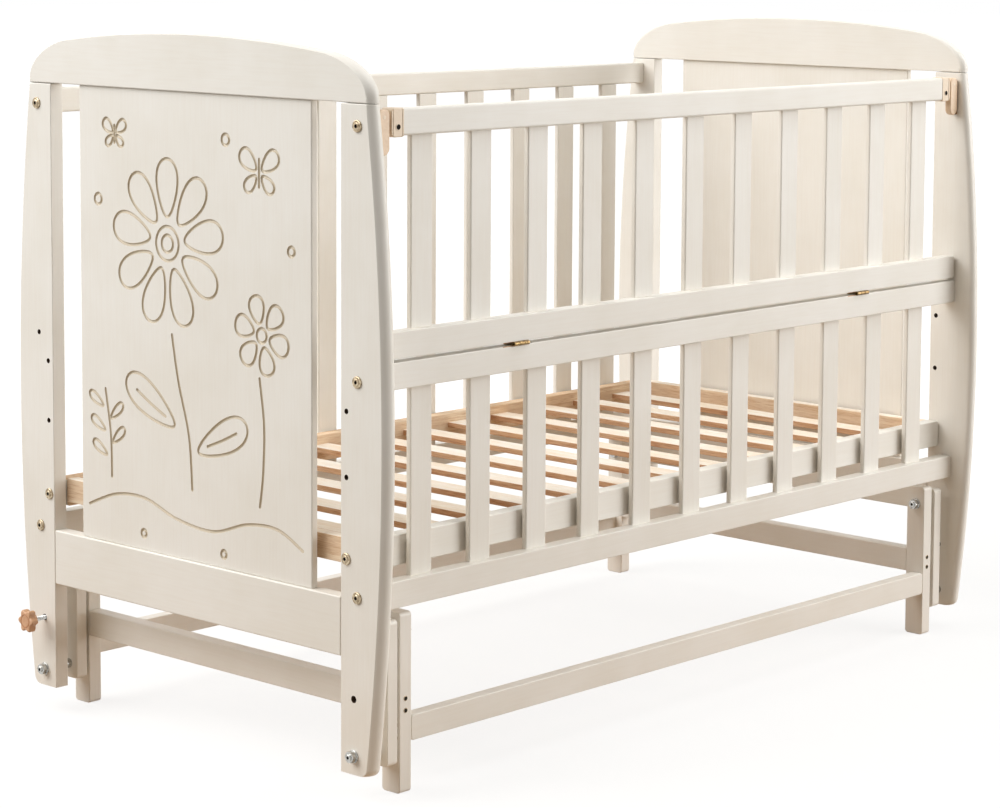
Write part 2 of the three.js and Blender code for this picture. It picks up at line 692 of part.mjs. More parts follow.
// Fixed to the post: low head inside the link, spacer between link and post, nut outside the post.
function lowerPivot() {
  const headSeat = linkInner - SEAT_GAP;
  const shank = rod("x", headSeat - SLIDE_GAP, endOuter + SLIDE_GAP, pivotY, PIVOT_LOW, PIVOT_BOLT_RADIUS);
  const head = rod("x", headSeat - PIVOT_HEAD_HEIGHT, headSeat, pivotY, PIVOT_LOW, PIVOT_HEAD_RADIUS);
  const spacer = rod("x", linkOuter + SEAT_GAP, clearHalf - SEAT_GAP, pivotY, PIVOT_LOW, SPACER_RADIUS);
  return join(shank, head, spacer, ...nutStack(endOuter + SEAT_GAP, 1, PIVOT_LOW));
}

// Pieces of the ends and corners

function addCorners() {
  for (const [depth, sideY] of [["front", FRONT], ["back", BACK]]) {
    for (const [width, sideX] of [["left", LEFT], ["right", RIGHT]]) {
      const corner = mirrored(sideX, sideY);
      const place = `${depth}_${width}`;
      add(`post_${place}`, post(), ivoryPaint, corner);
      add(`leg_${place}`, leg(), ivoryPaint, corner);
      add(`link_${place}`, link(), ivoryPaint, corner);
      add(`upper_pivot_${place}`, upperPivot(), zincSteel, corner);
      add(`lower_pivot_${place}`, lowerPivot(), zincSteel, corner);
      add(`base_bolt_${place}`, baseBolt(), bronze, corner);
    }
  }
}

function addEnds() {
  for (const [name, side] of [["left", LEFT], ["right", RIGHT]]) {
    const end = mirrored(side, BACK);
    add(`cap_${name}`, cap(), ivoryPaint, end);
    add(`board_${name}`, board(), ivoryPaint, end);
    add(`end_rail_${name}`, endRail(), ivoryPaint, end);
    add(`end_stretcher_${name}`, endStretcher(), ivoryPaint, end);
  }
}

// Stretchers

function endStretcher() {
  const reach = legBack - SEAT_GAP;
  const top = END_STRETCHER_BOTTOM + END_STRETCHER_HEIGHT;
  const outline = roundedRectangle(END_STRETCHER_BOTTOM, top, legInner, legOuter, STRETCHER_EDGE_ROUND);
  return prism("y", -reach, reach, outline);
}

function longStretcher(side) {
  const reach = legInner - SEAT_GAP;
  const [y0, y1] = across(side, legFace - LONG_STRETCHER_THICKNESS, legFace);
  const top = LONG_STRETCHER_BOTTOM + LONG_STRETCHER_HEIGHT;
  const outline = roundedRectangle(y0, y1, LONG_STRETCHER_BOTTOM, top, STRETCHER_EDGE_ROUND);
  return prism("x", -reach, reach, outline);
}

function addLongStretchers() {
  add("long_stretcher_front", longStretcher(FRONT), ivoryPaint);
  add("long_stretcher_back", longStretcher(BACK), ivoryPaint);
}

// Lock, drawn for the back right corner and mirrored to the left

// One ring round the lock's axis, plain or waving in and out like a star.
function knobRing(x, radius, lobeDepth) {
  const steps = KNOB_STEPS * KNOB_LOBES;
  const ring = [];
  for (let i = 0; i < steps; i++) {
    const a = (2 * Math.PI * i) / steps;
    const r = radius - (lobeDepth * (1 - Math.cos(KNOB_LOBES * a))) / 2;
    ring.push(new THREE.Vector3(x, pivotY + r * Math.cos(a), LOCK_HEIGHT + r * Math.sin(a)));
  }
  return ring;
}

// From the bottom of the stud's bore, over the hub's end and the star's rim, to the front face.
// The rim's edges are rounded in two steps, which meet where the rounding has turned by 45 degrees.
function knob() {
  const bore = PIVOT_BOLT_RADIUS + HOLE_GAP;
  const hubEnd = endOuter + LOCK_STANDOFF;
  const back = hubEnd + KNOB_HUB_LENGTH;
  const face = back + KNOB_THICKNESS;
  const edge = KNOB_RADIUS - KNOB_EDGE_ROUND;
  const turned = KNOB_EDGE_ROUND * (1 - Math.SQRT1_2);
  return loft([
    knobRing(hubEnd + STUD_IN_KNOB + SEAT_GAP, bore, 0),
    knobRing(hubEnd, bore, 0),
    knobRing(hubEnd, KNOB_HUB_RADIUS, 0),
    knobRing(back, KNOB_HUB_RADIUS, 0),
    knobRing(back, edge, KNOB_LOBE_DEPTH),
    knobRing(back + turned, KNOB_RADIUS - turned, KNOB_LOBE_DEPTH),
    knobRing(back + KNOB_EDGE_ROUND, KNOB_RADIUS, KNOB_LOBE_DEPTH),
    knobRing(face - KNOB_EDGE_ROUND, KNOB_RADIUS, KNOB_LOBE_DEPTH),
    knobRing(face - turned, KNOB_RADIUS - turned, KNOB_LOBE_DEPTH),
    knobRing(face, edge, KNOB_LOBE_DEPTH),
    knobRing(face, KNOB_HUB_RADIUS, 0),
  ]);
}

function stud() {
  const tip = clearHalf - LOCK_TIP_PAST_POST;
  return rod("x", tip, endOuter + LOCK_STANDOFF + STUD_IN_KNOB, pivotY, LOCK_HEIGHT, PIVOT_BOLT_RADIUS);
}

function addLock() {
  const corner = mirrored(LEFT, BACK);
  add("lock_stud", stud(), zincSteel, corner);
  add("lock_knob", knob(), tanPlastic, corner);
}

addCorners();
addEnds();
addLongSides();
addLatches();
addHinges();
addMattressBase();
addLongStretchers();
addLock();

export default crib;
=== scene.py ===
import json
import math

import bmesh
import bpy
from mathutils import Matrix, Vector


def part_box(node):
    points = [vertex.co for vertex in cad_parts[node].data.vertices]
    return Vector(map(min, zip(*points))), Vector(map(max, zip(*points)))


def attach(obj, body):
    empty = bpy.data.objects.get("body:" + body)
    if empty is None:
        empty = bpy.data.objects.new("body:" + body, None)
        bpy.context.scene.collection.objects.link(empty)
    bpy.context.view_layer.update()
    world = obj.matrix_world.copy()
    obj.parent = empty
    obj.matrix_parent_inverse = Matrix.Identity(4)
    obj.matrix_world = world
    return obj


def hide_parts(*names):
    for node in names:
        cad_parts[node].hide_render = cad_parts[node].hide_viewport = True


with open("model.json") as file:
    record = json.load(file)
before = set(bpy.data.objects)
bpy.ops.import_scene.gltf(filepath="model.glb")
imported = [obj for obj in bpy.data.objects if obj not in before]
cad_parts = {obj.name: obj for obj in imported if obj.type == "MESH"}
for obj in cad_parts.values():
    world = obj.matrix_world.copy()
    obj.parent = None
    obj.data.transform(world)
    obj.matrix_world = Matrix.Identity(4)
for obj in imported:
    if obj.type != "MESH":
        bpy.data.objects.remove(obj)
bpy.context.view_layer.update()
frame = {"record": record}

# A wooden crib with a folding front side on a cross-swing stand.
# Metres, in the frame's axes: +X along the crib, the folding side towards -Y.

# Camera, as the photograph was taken, with angles in degrees
CAMERA_PLACE = (-2.92091, -2.72927, 1.04346)
CAMERA_HEADING = -48.1631  # from +Y, anticlockwise
CAMERA_DIP = 5.5960  # below the horizon
CAMERA_ROLL = 0.4677
CAMERA_LENS = 102.223
CAMERA_SHIFT = (-0.081295, -0.189304)
CAMERA_REACH = 50

# Places taken from the frame. Corner pieces are drawn for the back right corner, with x from the middle.
FRONT = -1
BACK = 1
LEFT = -1
RIGHT = 1
SIDES_X = {"left": LEFT, "right": RIGHT}
SIDES_Y = {"front": FRONT, "back": BACK}
MIDDLE_X = (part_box("cap_left")[0].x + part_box("cap_right")[1].x) / 2


def span_x(node):
    return [corner.x - MIDDLE_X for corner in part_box(node)]


END_INNER, END_OUTER = span_x("cap_right")
LINK_INNER, LINK_OUTER = span_x("link_back_right")
LEG_INNER, LEG_OUTER = span_x("leg_back_right")
_, POST_INNER, POST_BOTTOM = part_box("post_back_right")[0]
POST_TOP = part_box("post_back_right")[1].z
CAP_BOTTOM, CAP_TOP = (corner.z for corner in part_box("cap_right"))
CAP_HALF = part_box("cap_right")[1].y
SIDE_INNER, SIDE_OUTER = (corner.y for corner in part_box("back_top_rail"))
SIDE_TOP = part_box("back_top_rail")[1].z
SIDE_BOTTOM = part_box("back_slats_and_bottom_rail")[0].z
LOWER_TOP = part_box("front_lower_top_rail")[1].z
LEG_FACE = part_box("leg_back_right")[1].y
PIVOT_Y = SIDE_INNER
BASE_FRONT_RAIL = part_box("mattress_base_front_rail")
BASE_RAIL_THICKNESS = BASE_FRONT_RAIL[1].y - BASE_FRONT_RAIL[0].y
BASE_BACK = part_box("mattress_base_slats_and_back_rail")[1].y

# Posts and caps
POST_FOOT_WIDTH = 0.051
POST_BELLY_WIDTH = 0.077
POST_HEAD_WIDTH = 0.050
POST_FOOT_ROUND = 0.010
EDGE_RADIUS = 0.0138  # of the arc that starts at a crisp line on the outer face
EDGE_ROUND = 0.008  # of the arc that carries it on to the inner face
CAP_END_HEIGHT = 0.006
SEAM = 0.0007  # between a post and the cap or the end rail
CAP_CORNER = 0.080  # how far a corner reaches along the crown
CAP_CORNER_PULLS = (0.024, 0.042)  # of its bend, at the end and at the crown
CAP_CROWN_RADIUS = 2.17
CAP_TOP_SHARE = 0.25  # of an inset, that the crown takes

# Long sides, whose slats are cut from the same strip as the mattress base's
RAIL_HEIGHT = 0.033
SLAT_COUNT = 11
SLAT_WIDTH = 0.037
SLAT_THICKNESS = 0.008
SLAT_INSET = 0.0005
SLAT_IN_RAIL = 0.004  # of a slat's end that a rail hides
SLAT_ROUND = 0.002
SLAT_END_ROUND = 0.0005

# Mattress base
BASE_SLAT_COUNT = 12
BASE_SLAT_DROP = 0.013  # below the rails' upper edge
BASE_SLAT_ROUND = 0.0008
BASE_END = 0.600  # outer face of the base's end rails, from the middle
BASE_END_THICKNESS = 0.018
BASE_END_RISE = 0.006  # above the long rails' lower edge
BASE_END_DROP = 0.0005  # below their upper edge
BASE_END_ROUND = 0.001
BASE_BOLT_HEIGHTS = (0.298, 0.397, 0.477)

# Edges
RAIL_ROUND = 0.002
TOP_RAIL_ROUND = 0.003
FIRM_END = 0.0012  # rounding of an end that meets another piece
CAPPED_END = 0.0006  # rounding of an end inside a plastic cap
LEAST_ROUND = 0.2  # of an edge's radius, that is left inside an inset
PLANK_CORNER = 0.0045  # corner of a rail's end, seen from the front
LEG_CORNER = 0.005
LINK_CORNER = 0.006
FACE_EDGE = 0.0013
ARC_STEPS = 6

# Bolts and pivots
SEAT_GAP = 0.0002
BOLT_RADIUS = 0.003
BOLT_HOLE_RADIUS = 0.00345
BOLT_HEAD = (0.0075, 0.0030)  # radius and height
BASE_BOLT_LENGTH = 0.060
RAIL_BOLT_LENGTH = 0.012
RAIL_BOLT_INSET = 0.006  # from the rail's inner face
RAIL_BOLT_SHIFT = 0.003  # from the rail's middle
SOCKET_SHARE = 0.34  # of a head's radius, to the socket's corners
SOCKET_DEPTH_SHARE = 0.6  # of a head's height
SCREW_LENGTH = 0.004
SCREW_RIM = 0.0005
SCREW_BEVEL = (0.0002, 0.0003)  # along the screw, and of its radius
SCREW_FLOOR = 0.0001  # of its socket, above the face
SCREW_SHARES = (0.8, 0.76, 0.646)  # of its radius: behind the face, and the socket's rim and floor
PIVOT_LOW = 0.058
PIVOT_HIGH = 0.199
PIVOT_BOLT_RADIUS = 0.004
PIVOT_HEAD = (0.008, 0.0035)
NUT_RADIUS = 0.0075
NUT_HEIGHT = 0.0065
NUT_CHAMFER = 0.0006
NUT_CUT_SHARE = 0.92  # of its radius, left of the corners at its ends
WASHER_RADIUS = 0.0080
WASHER_THICKNESS = 0.0015
WASHER_EDGE = 0.0002
SPACER_RADIUS = 0.0065
BOLT_PAST_NUT = 0.002
BOLT_END_CHAMFER = (0.0005, 0.0006)  # along the bolt, and of its radius
BOLT_DIMPLE = (0.0020, 0.0016, 0.001)  # radius at the end, at the floor, and depth
LEG_SCREW_RADIUS = 0.0033
LEG_SCREW_HEIGHTS = (0.103, 0.118)  # into the end stretcher, through the leg's narrow face
LEG_BOLT_PLACES = ((0.307, 0.086), (0.307, 0.070))  # into the long stretcher, through its broad face
LEG_BOLT_HEAD = (0.0052, 0.0016)
LEG_BOLT_LENGTH = 0.010

# Lock
LOCK_HEIGHT = 0.128
LOCK_HOLE_RADIUS = 0.0045
LOCK_STANDOFF = 0.018
LOCK_TIP_PAST_POST = 0.0015
STUD_IN_KNOB = 0.009
STUD_RADIUS = 0.0031
THREAD_PITCH = 0.00125
STUD_TIP_TAPER = 0.0006
THREAD_DEPTH = 0.0005
THREAD_STEPS = 8  # rings for one pitch
KNOB_RADIUS = 0.016
KNOB_LOBES = 6
KNOB_LOBE_DEPTH = 0.004
KNOB_THICKNESS = 0.011
KNOB_HUB_LENGTH = 0.004
KNOB_HUB_RADIUS = 0.008
KNOB_HUB_EDGE = 0.0004
KNOB_EDGE_ROUND = 0.0025
KNOB_BORE_PLAY = 0.0004
KNOB_GROOVE = ((0.0091, 0), (0.0088, 0.0009), (0.0080, 0.0009), (0.0077, 0))  # radius and depth
KNOB_DIMPLE = ((0.0030, 0), (0.0010, 0.0004))

# Latches and hinges
END_CAP_LENGTH = 0.0205
END_CAP_LAP = 0.0012  # over the rail's end
END_CAP_DROP = 0.0015  # below the rail
END_CAP_RISE = 0.0006  # above the rail
END_CAP_CORNERS = (0.0025, 0.006)  # beside the rail, and at the free end
END_CAP_EDGE = 0.0014
END_CAP_SCREW_RADIUS = 0.0044
END_CAP_SCREW_SHIFT = 0.0008  # from its middle towards the rail
END_CAP_SCREW_DROP = 0.0222  # below the rail's top
LIP_SPANS = ((0.0001, 0.0024), (0.0159, 0.0177))  # from the cap's end at the rail
LIP_ENDS = (0.001, 0.0014)  # from the cap's lower and upper face
LIP_DEPTH = 0.003
LIP_RISE = 0.0006
EAR_SPAN = (0.0265, 0.0045)  # of the piece that holds the lever, below the rail's top
EAR_LAP = 0.008
EAR_INSET = 0.001  # from the lever's side, and the radius of its edges
LEVER_WIDTH = 0.018
LEVER_THICKNESS = 0.010
LEVER_FACE = SIDE_OUTER - 0.0005
LEVER_CORNER = 0.0065
LEVER_EDGE = 0.0016
LEVER_LIFT = 0.002  # of its lower end above the solid's
LEVER_TOP_DROP = 0.0006  # below the rail's top
LEVER_PIN_DROP = 0.010  # below the rail's top
LEVER_PIN_RADIUS = 0.0025
LEVER_PIN_REACH = 0.004  # behind the lever
LEVER_PIN_EDGE = (0.0002, 0.0004)  # before and behind the lever's face, and of the radius
STRIKE_PLATE_ROUNDS = (0.002, 0.0004)  # of its corners, and of its faces' edges
HINGE_BARREL_RADIUS = 0.0029
HINGE_BARREL_LENGTH = 0.028
HINGE_KNUCKLES = 3
HINGE_KNUCKLE_GAP = 0.0004
HINGE_KNUCKLE_EDGE = 0.0004
HINGE_SLOT_LENGTH = 0.017
HINGE_HOLE_GAP = 0.00045
HINGE_LEAF_THICKNESS = 0.0014
HINGE_LEAF_DEPTH = 0.014
HINGE_LEAF_ROUND = 0.0003
HINGE_LEAF_REST = 0.0018  # of its outer face, from the axis
HINGE_TONGUE_START = 0.0015  # of a knuckle's tongue, behind the axis
HINGE_TONGUE_LAP = 0.001  # of a tongue and the plate
HINGE_PIN_RADIUS = 0.0012
HINGE_PIN_INSET = 0.0002

# Light and floor
WARM_FILL = (1.0, 0.97, 0.92, 1)
FILL_STRENGTH = 0.20
LAMP_TARGET_HEIGHT = 0.5
LAMPS = {
    "left back": ((-3.1, 2.3, 3.6), 4.6, 300),
    "right front": ((4.1, -4.6, 1.8), 4.2, 268),
    "above": ((1.2, -1.2, 3.3), 2.6, 48),
}  # place from the middle, side and watts
FLOOR_REACH = 30
FLOOR_SHADE_SPAN = (1.3, 2.6)  # from the middle: the object's shadow fades out between them
FLOOR_GLOW = 0.80  # near the object; 1 is plain white
FLOOR_DIFFUSE = (0.22, 0.215, 0.205, 1)
FLOOR_TINT_SPAN = (0.5, 1.8)  # the light thrown back turns from the first tint to the second
FLOOR_TINTS = ((172, 136, 92), (140, 140, 138))

PAINTED = "ivory_painted_wood"

body_of = {
    node: body
    for body, members in frame["record"]["behaviour"]["bodies"].items()
    for node in members
}


def link(name, data):
    """A new object in the scene."""
    obj = bpy.data.objects.new(name, data)
    bpy.context.collection.objects.link(obj)
    return obj


def add_camera():
    camera = bpy.data.cameras.new("camera")
    camera.lens = CAMERA_LENS
    camera.shift_x, camera.shift_y = CAMERA_SHIFT
    camera.clip_end = CAMERA_REACH
    holder = link("camera", camera)
    turn = Matrix.Rotation(math.radians(CAMERA_HEADING), 4, "Z")
    tilt = Matrix.Rotation(math.radians(90 - CAMERA_DIP), 4, "X")
    roll = Matrix.Rotation(math.radians(CAMERA_ROLL), 4, "Z")
    holder.matrix_world = Matrix.Translation(CAMERA_PLACE) @ turn @ tilt @ roll
    bpy.context.scene.camera = holder


add_camera()


# Materials

class Look:
    """The nodes of a material, or of the world, added by short calls."""

    def __init__(self, owner, shader="Principled BSDF"):
        owner.use_nodes = True
        self.owner = owner
        self.nodes = owner.node_tree.nodes
        self.links = owner.node_tree.links
        self.shader = self.nodes[shader]

    def node(self, kind, inputs=None, **settings):
        """A new node with its settings, then its inputs, which are values or other nodes' outputs."""
        made = self.nodes.new("ShaderNode" + kind)
        for key, value in settings.items():
            setattr(made, key, value)
        for key, value in (inputs or {}).items():
            self.put(made.inputs[key], value)
        return made

    def put(self, socket, value):
        if isinstance(value, bpy.types.NodeSocket):
            self.links.new(value, socket)
        else:
            socket.default_value = value

    def feed(self, name, value):
        self.put(self.shader.inputs[name], value)

    def place(self, scale=(1, 1, 1)):
        """Object coordinates in metres; a small scale along an axis draws a pattern out along it."""
        source = self.node("TexCoord").outputs["Object"]
        return self.node("Mapping", {"Scale": scale, "Vector": source}).outputs["Vector"]

    def noise(self, place, scale, detail=2, roughness=0.5, distortion=0):
        inputs = dict(Vector=place, Scale=scale, Detail=detail, Roughness=roughness, Distortion=distortion)
        return self.node("TexNoise", inputs).outputs["Fac"]

    def range(self, value, low, high, from_low=0.3, from_high=0.7):
        """The value's span from from_low to from_high becomes low to high."""
        inputs = {"Value": value, "From Min": from_low, "From Max": from_high, "To Min": low, "To Max": high}
        return self.node("MapRange", inputs).outputs["Result"]

    def ramp(self, value, stops):
        made = self.node("ValToRGB", {"Fac": value})
        elements = made.color_ramp.elements
        while len(elements) < len(stops):
            elements.new(0.5)
        for element, (position, color) in zip(elements, stops):
            element.position = position
            element.color = (*linear(color), 1)
        return made.outputs["Color"]

    def multiply(self, factor, first, second):
        inputs = {"Factor": factor, "A": first, "B": second}
        made = self.node("Mix", inputs, data_type="RGBA", blend_type="MULTIPLY")
        return made.outputs["Result"]

    def math(self, operation, first, second):
        return self.node("Math", {0: first, 1: second}, operation=operation).outputs["Value"]

    def bump(self, height, distance):
        made = self.node("Bump", {"Distance": distance, "Height": height})
        self.feed("Normal", made.outputs["Normal"])

    def show(self, plain, seen, output):
        """The camera and mirror images meet the seen shader, all other light the plain one."""
        rays = self.node("LightPath").outputs
        either = self.math("MAXIMUM", rays["Is Camera Ray"], rays["Is Glossy Ray"])
        mixed = self.node("MixShader", {"Fac": either, 1: plain.outputs[0], 2: seen.outputs[0]})
        self.put(self.nodes[output].inputs["Surface"], mixed.outputs[0])


def new_look(name):
    return Look(bpy.data.materials.new(name))


def linear(color):
    """An sRGB colour given as 0 to 255, in linear light."""
    shares = (value / 255 for value in color)
    return tuple(v / 12.92 if v <= 0.04045 else ((v + 0.055) / 1.055) ** 2.4 for v in shares)


DRAWN = 0.05  # scale along the fibres
GRAIN_ALONG = {"x": (DRAWN, 1, 1), "y": (1, DRAWN, 1), "z": (1, 1, DRAWN)}


def ivory_paint(axis, light=(240, 236, 228), dark=(235, 230, 220)):
    """Sprayed satin paint: a fine peel, soft clouds, and a trace of the grain along the axis given."""
    look = new_look(f"ivory_paint_{axis}")
    place = look.place()
    cloud = look.noise(place, 9, detail=3)
    grain = look.noise(look.place(GRAIN_ALONG[axis]), 300, detail=3, distortion=0.4)
    peel = look.noise(place, 1100, detail=2)
    tone = look.ramp(cloud, [(0.34, dark), (0.66, light)])
    fibre = look.ramp(grain, [(0.30, (253, 252, 251)), (0.60, (255, 255, 255))])
    look.feed("Base Color", look.multiply(1.0, tone, fibre))
    look.feed("Roughness", look.range(peel, 0.46, 0.38))
    height = look.math("ADD", look.math("MULTIPLY", grain, 0.5), look.math("MULTIPLY", peel, 0.5))
    look.bump(height, 0.00004)
    return look.owner


def wood(name, axis, tones, pore, gloss=0.66):
    """Sanded wood with fibres along the axis given, darker bands, pores and warm patches."""
    look = new_look(name)
    along = look.place(GRAIN_ALONG[axis])
    band = look.noise(along, 70, detail=4, roughness=0.55, distortion=1.1)
    fibre = look.noise(along, 800, detail=5, roughness=0.65)
    patch = look.noise(look.place(), 11, detail=2)
    dark, middle, light = tones
    base = look.ramp(band, [(0.30, dark), (0.50, middle), (0.72, light)])
    pores = look.ramp(fibre, [(0.30, pore), (0.52, (255, 254, 252))])
    warm = look.ramp(patch, [(0.35, (255, 247, 238)), (0.65, (255, 255, 255))])
    look.feed("Base Color", look.multiply(1.0, look.multiply(0.7, base, pores), warm))
    look.feed("Roughness", look.range(fibre, gloss + 0.12, gloss - 0.06))
    look.bump(fibre, 0.00025)
    return look.owner


def plastic(name, color, darker, roughness=0.36, gloss=0.5):
    """Moulded plastic with a faint flow pattern and a fine matt skin."""
    look = new_look(name)
    place = look.place()
    flow = look.noise(place, 90, detail=3, distortion=1.5)
    skin_grain = look.noise(place, 2600, detail=2)
    look.feed("Base Color", look.ramp(flow, [(0.32, darker), (0.68, color)]))
    look.feed("Roughness", look.range(skin_grain, roughness - 0.06, roughness + 0.08))
    look.feed("Specular IOR Level", gloss)
    look.bump(skin_grain, 0.00003)
    return look.owner


def metal(name, color, darker, roughness=0.3):
    """Plated steel: slight stains, fine scratches and uneven gloss."""
    look = new_look(name)
    stain = look.noise(look.place(), 260, detail=4, roughness=0.6)
    scratch = look.noise(look.place((1, 1, 0.06)), 3800, detail=2)
    look.feed("Metallic", 1.0)
    look.feed("Base Color", look.ramp(stain, [(0.33, darker), (0.62, color)]))
    look.feed("Roughness", look.range(scratch, roughness - 0.08, roughness + 0.12))
    look.bump(scratch, 0.00002)
    return look.owner


paint = {axis: ivory_paint(axis) for axis in "xyz"}
# Paint in the carved grooves, darkened as painted shade
carved_shade_paint = ivory_paint("z", (214, 202, 180), (204, 190, 166))
# Raw beech in two copies: lightened as painted light for faces that are not side faces, darkened as painted
# shade for side faces and hinge grooves
LIT_RAW_TONES = ((246, 234, 216), (252, 245, 234), (254, 250, 243))
SHADED_RAW_TONES = ((186, 140, 102), (212, 172, 136), (226, 194, 162))
END_TONES = ((218, 188, 156), (234, 210, 182), (242, 224, 200))
# Inside open holes: the raw wood of the bore, darkened near to black as painted shade
BORE_SHADE_TONES = ((60, 44, 32), (76, 58, 42), (92, 72, 54))
lit_raw_wood = wood("lit_raw_wood", "y", LIT_RAW_TONES, (236, 220, 198))
shaded_raw_wood = {axis: wood(f"shaded_raw_wood_{axis}", axis, SHADED_RAW_TONES, (186, 140, 104), 0.8) for axis in "xy"}
end_wood = {axis: wood(f"end_wood_{axis}", axis, END_TONES, (214, 184, 152), 0.8) for axis in "xy"}
bore_shade_wood = wood("bore_shade_wood", "x", BORE_SHADE_TONES, (60, 46, 34), 0.85)
beige_plastic = plastic("beige_plastic", (236, 217, 192), (229, 207, 180))
lever_plastic = plastic("lever_plastic", (233, 206, 176), (225, 196, 164))
tan_plastic = plastic("tan_plastic", (216, 170, 132), (202, 154, 116), 0.4)
brown_plastic = plastic("brown_plastic", (150, 112, 78), (128, 92, 62), 0.45)
# Painted shade: near-black plastic put in sockets, bores and bolt-end dimples, where there is only shade
hollow_shade = plastic("hollow_shade", (30, 24, 19), (20, 16, 12), 0.8, 0.1)
zinc = metal("zinc_steel", (206, 206, 203), (150, 147, 141), 0.2)
bronze = metal("bronze_steel", (200, 184, 158), (134, 116, 90), 0.24)
brass = metal("brass_plated", (150, 124, 84), (84, 66, 42), 0.3)


# Mesh helpers

def quarter(steps, share=1):
    """Angles from none to a quarter turn, or to a share of one."""
    return [math.pi / 2 * share * i / steps for i in range(steps + 1)]


def circle(steps, shift=0):
    """Angles of a full turn, shifted by a share of a step."""
    return [2 * math.pi * (i + shift) / steps for i in range(steps)]


def arc(u, v, radius, start, end, steps=ARC_STEPS):
    """Points on an arc, angles in quarter turns."""
    turn = [math.pi / 2 * (start + (end - start) * i / steps) for i in range(steps + 1)]
    return [(u + radius * math.cos(a), v + radius * math.sin(a)) for a in turn]


def rounded(u0, u1, v0, v1, *radii):
    """A rectangle with round corners, anticlockwise from (u1, v0), of one radius or of four."""
    a, b, c, d = radii if len(radii) == 4 else 4 * radii
    return [
        *arc(u1 - a, v0 + a, a, -1, 0),
        *arc(u1 - b, v1 - b, b, 0, 1),
        *arc(u0 + c, v1 - c, c, 1, 2),
        *arc(u0 + d, v0 + d, d, 2, 3),
    ]


def ring(axis, along, outline):
    """An outline in (y, z), (z, x) or (x, y) placed across the axis."""
    shift = -"xyz".index(axis)
    points = [(along, u, v) for u, v in outline]
    return [Vector((*point[shift:], *point[:shift])) for point in points]


def skin(rings, dark=None, closed=False):
    """A closed body over rings of equal length; faces between two dark rings get the second material, a
    painted shade.
    """
    bm = bmesh.new()
    dark = dark or [False] * len(rings)
    rows = [[bm.verts.new(point) for point in points] for points in rings]
    for k in range(1, len(rows) + closed):
        low, high = rows[k - 1], rows[k % len(rows)]
        for i in range(len(low)):
            j = (i + 1) % len(low)
            face = bm.faces.new((low[i], low[j], high[j], high[i]))
            face.material_index = int(dark[k - 1] and dark[k % len(rows)])
    if not closed:
        bm.faces.new(reversed(rows[0])).material_index = int(dark[0])
        bm.faces.new(rows[-1]).material_index = int(dark[-1])
    bmesh.ops.recalc_face_normals(bm, faces=bm.faces)
    return bm


def round_edges(low, high, edge, steps=4):
    """Places from one face to another whose edges are rounded, each with its inset."""
    return [
        (start + way * edge * (1 - math.cos(a)), edge * (1 - math.sin(a)))
        for start, way in ((low, 1), (high, -1))
        for a in quarter(steps)[::way]
    ]


def pillow(axis, low, high, outline, edge):
    """A body between two faces with rounded edges; outline gives the shape for an inset."""
    return skin([ring(axis, along, outline(inset)) for along, inset in round_edges(low, high, edge)])


def bar(axis, low, high, u0, u1, v0, v1, radius, end=FIRM_END):
    """A bar with rounded long edges and rounded ends."""
    def outline(inset):
        corner = max(radius - inset, LEAST_ROUND * radius)
        return rounded(u0 + inset, u1 - inset, v0 + inset, v1 - inset, corner)
    return pillow(axis, low, high, outline, end)


def mesh_of(name, bm):
    """A mesh with a body's faces; the body is let go."""
    mesh = bpy.data.meshes.new(name)
    bm.to_mesh(mesh)
    bm.free()
    return mesh


def block(axis, low, high, radius, end=FIRM_END, play=0):
    """A bar along an axis between two corner points, less any play at its ends."""
    order = {"x": "xyz", "y": "yzx", "z": "zxy"}[axis]
    start, stop, *sides = (getattr(corner, letter) for letter in order for corner in (low, high))
    return bar(axis, start + play, stop - play, *sides, radius, end)


def merge(pieces):
    """Several bodies in one mesh."""
    whole = bmesh.new()
    for piece in pieces:
        mesh = mesh_of("part", piece)
        whole.from_mesh(mesh)
        bpy.data.meshes.remove(mesh)
    return whole


def mirrored(bm, side_x, side_y=BACK):
    """Takes what is drawn for the back right corner to another corner, and to the frame's middle."""
    for vertex in bm.verts:
        vertex.co = Vector((MIDDLE_X + side_x * vertex.co.x, side_y * vertex.co.y, vertex.co.z))
    if side_x * side_y < 0:
        bmesh.ops.reverse_faces(bm, faces=bm.faces)
    return bm


# Turned bodies, round an axis along X

def hexagon(corner, limit=1.0):
    """A hexagon's radius by angle, cut back to a circle of the limit's radius."""
    def radius(a):
        return min(limit, corner * math.cos(math.pi / 6) / math.cos(a % (math.pi / 3) - math.pi / 6))
    return radius


def turned(profile, y, z, sides=24):
    """A closed body through rings given as place, radius and, where it gets painted shade, True."""
    rings = []
    for x, radius, *_ in profile:
        points = []
        for a in circle(sides):
            r = radius(a) if callable(radius) else radius
            points.append(Vector((x, y + r * math.cos(a), z + r * math.sin(a))))
        rings.append(points)
    return skin(rings, [len(entry) > 2 for entry in profile])


def face_sideways(bm, place):
    """Turns what was made round X so that it looks along +Y, and puts it at a place."""
    turn = Matrix.Translation(place) @ Matrix.Rotation(math.pi / 2, 4, "Z")
    bmesh.ops.transform(bm, matrix=turn, verts=bm.verts)
    return bm


def domed_head(face, way, radius, height):
    """From a seat outwards: a flange with a rounded rim, a shallow dish, a boss and a hexagon socket in
    painted shade.
    """
    socket = hexagon(SOCKET_SHARE * radius)
    shape = [(0, 1), (0.30, 1), (0.50, 0.97), (0.62, 0.90), (0.66, 0.80), (0.60, 0.70), (0.62, 0.64)]
    shape += [(0.86, 0.60), (0.97, 0.55), (1, 0.48)]
    profile = [(face + way * height * rise, radius * share) for rise, share in shape]
    top = face + way * height
    floor = top - way * SOCKET_DEPTH_SHARE * height
    return [*profile, (top, socket), (top, socket, True), (floor, socket, True)]


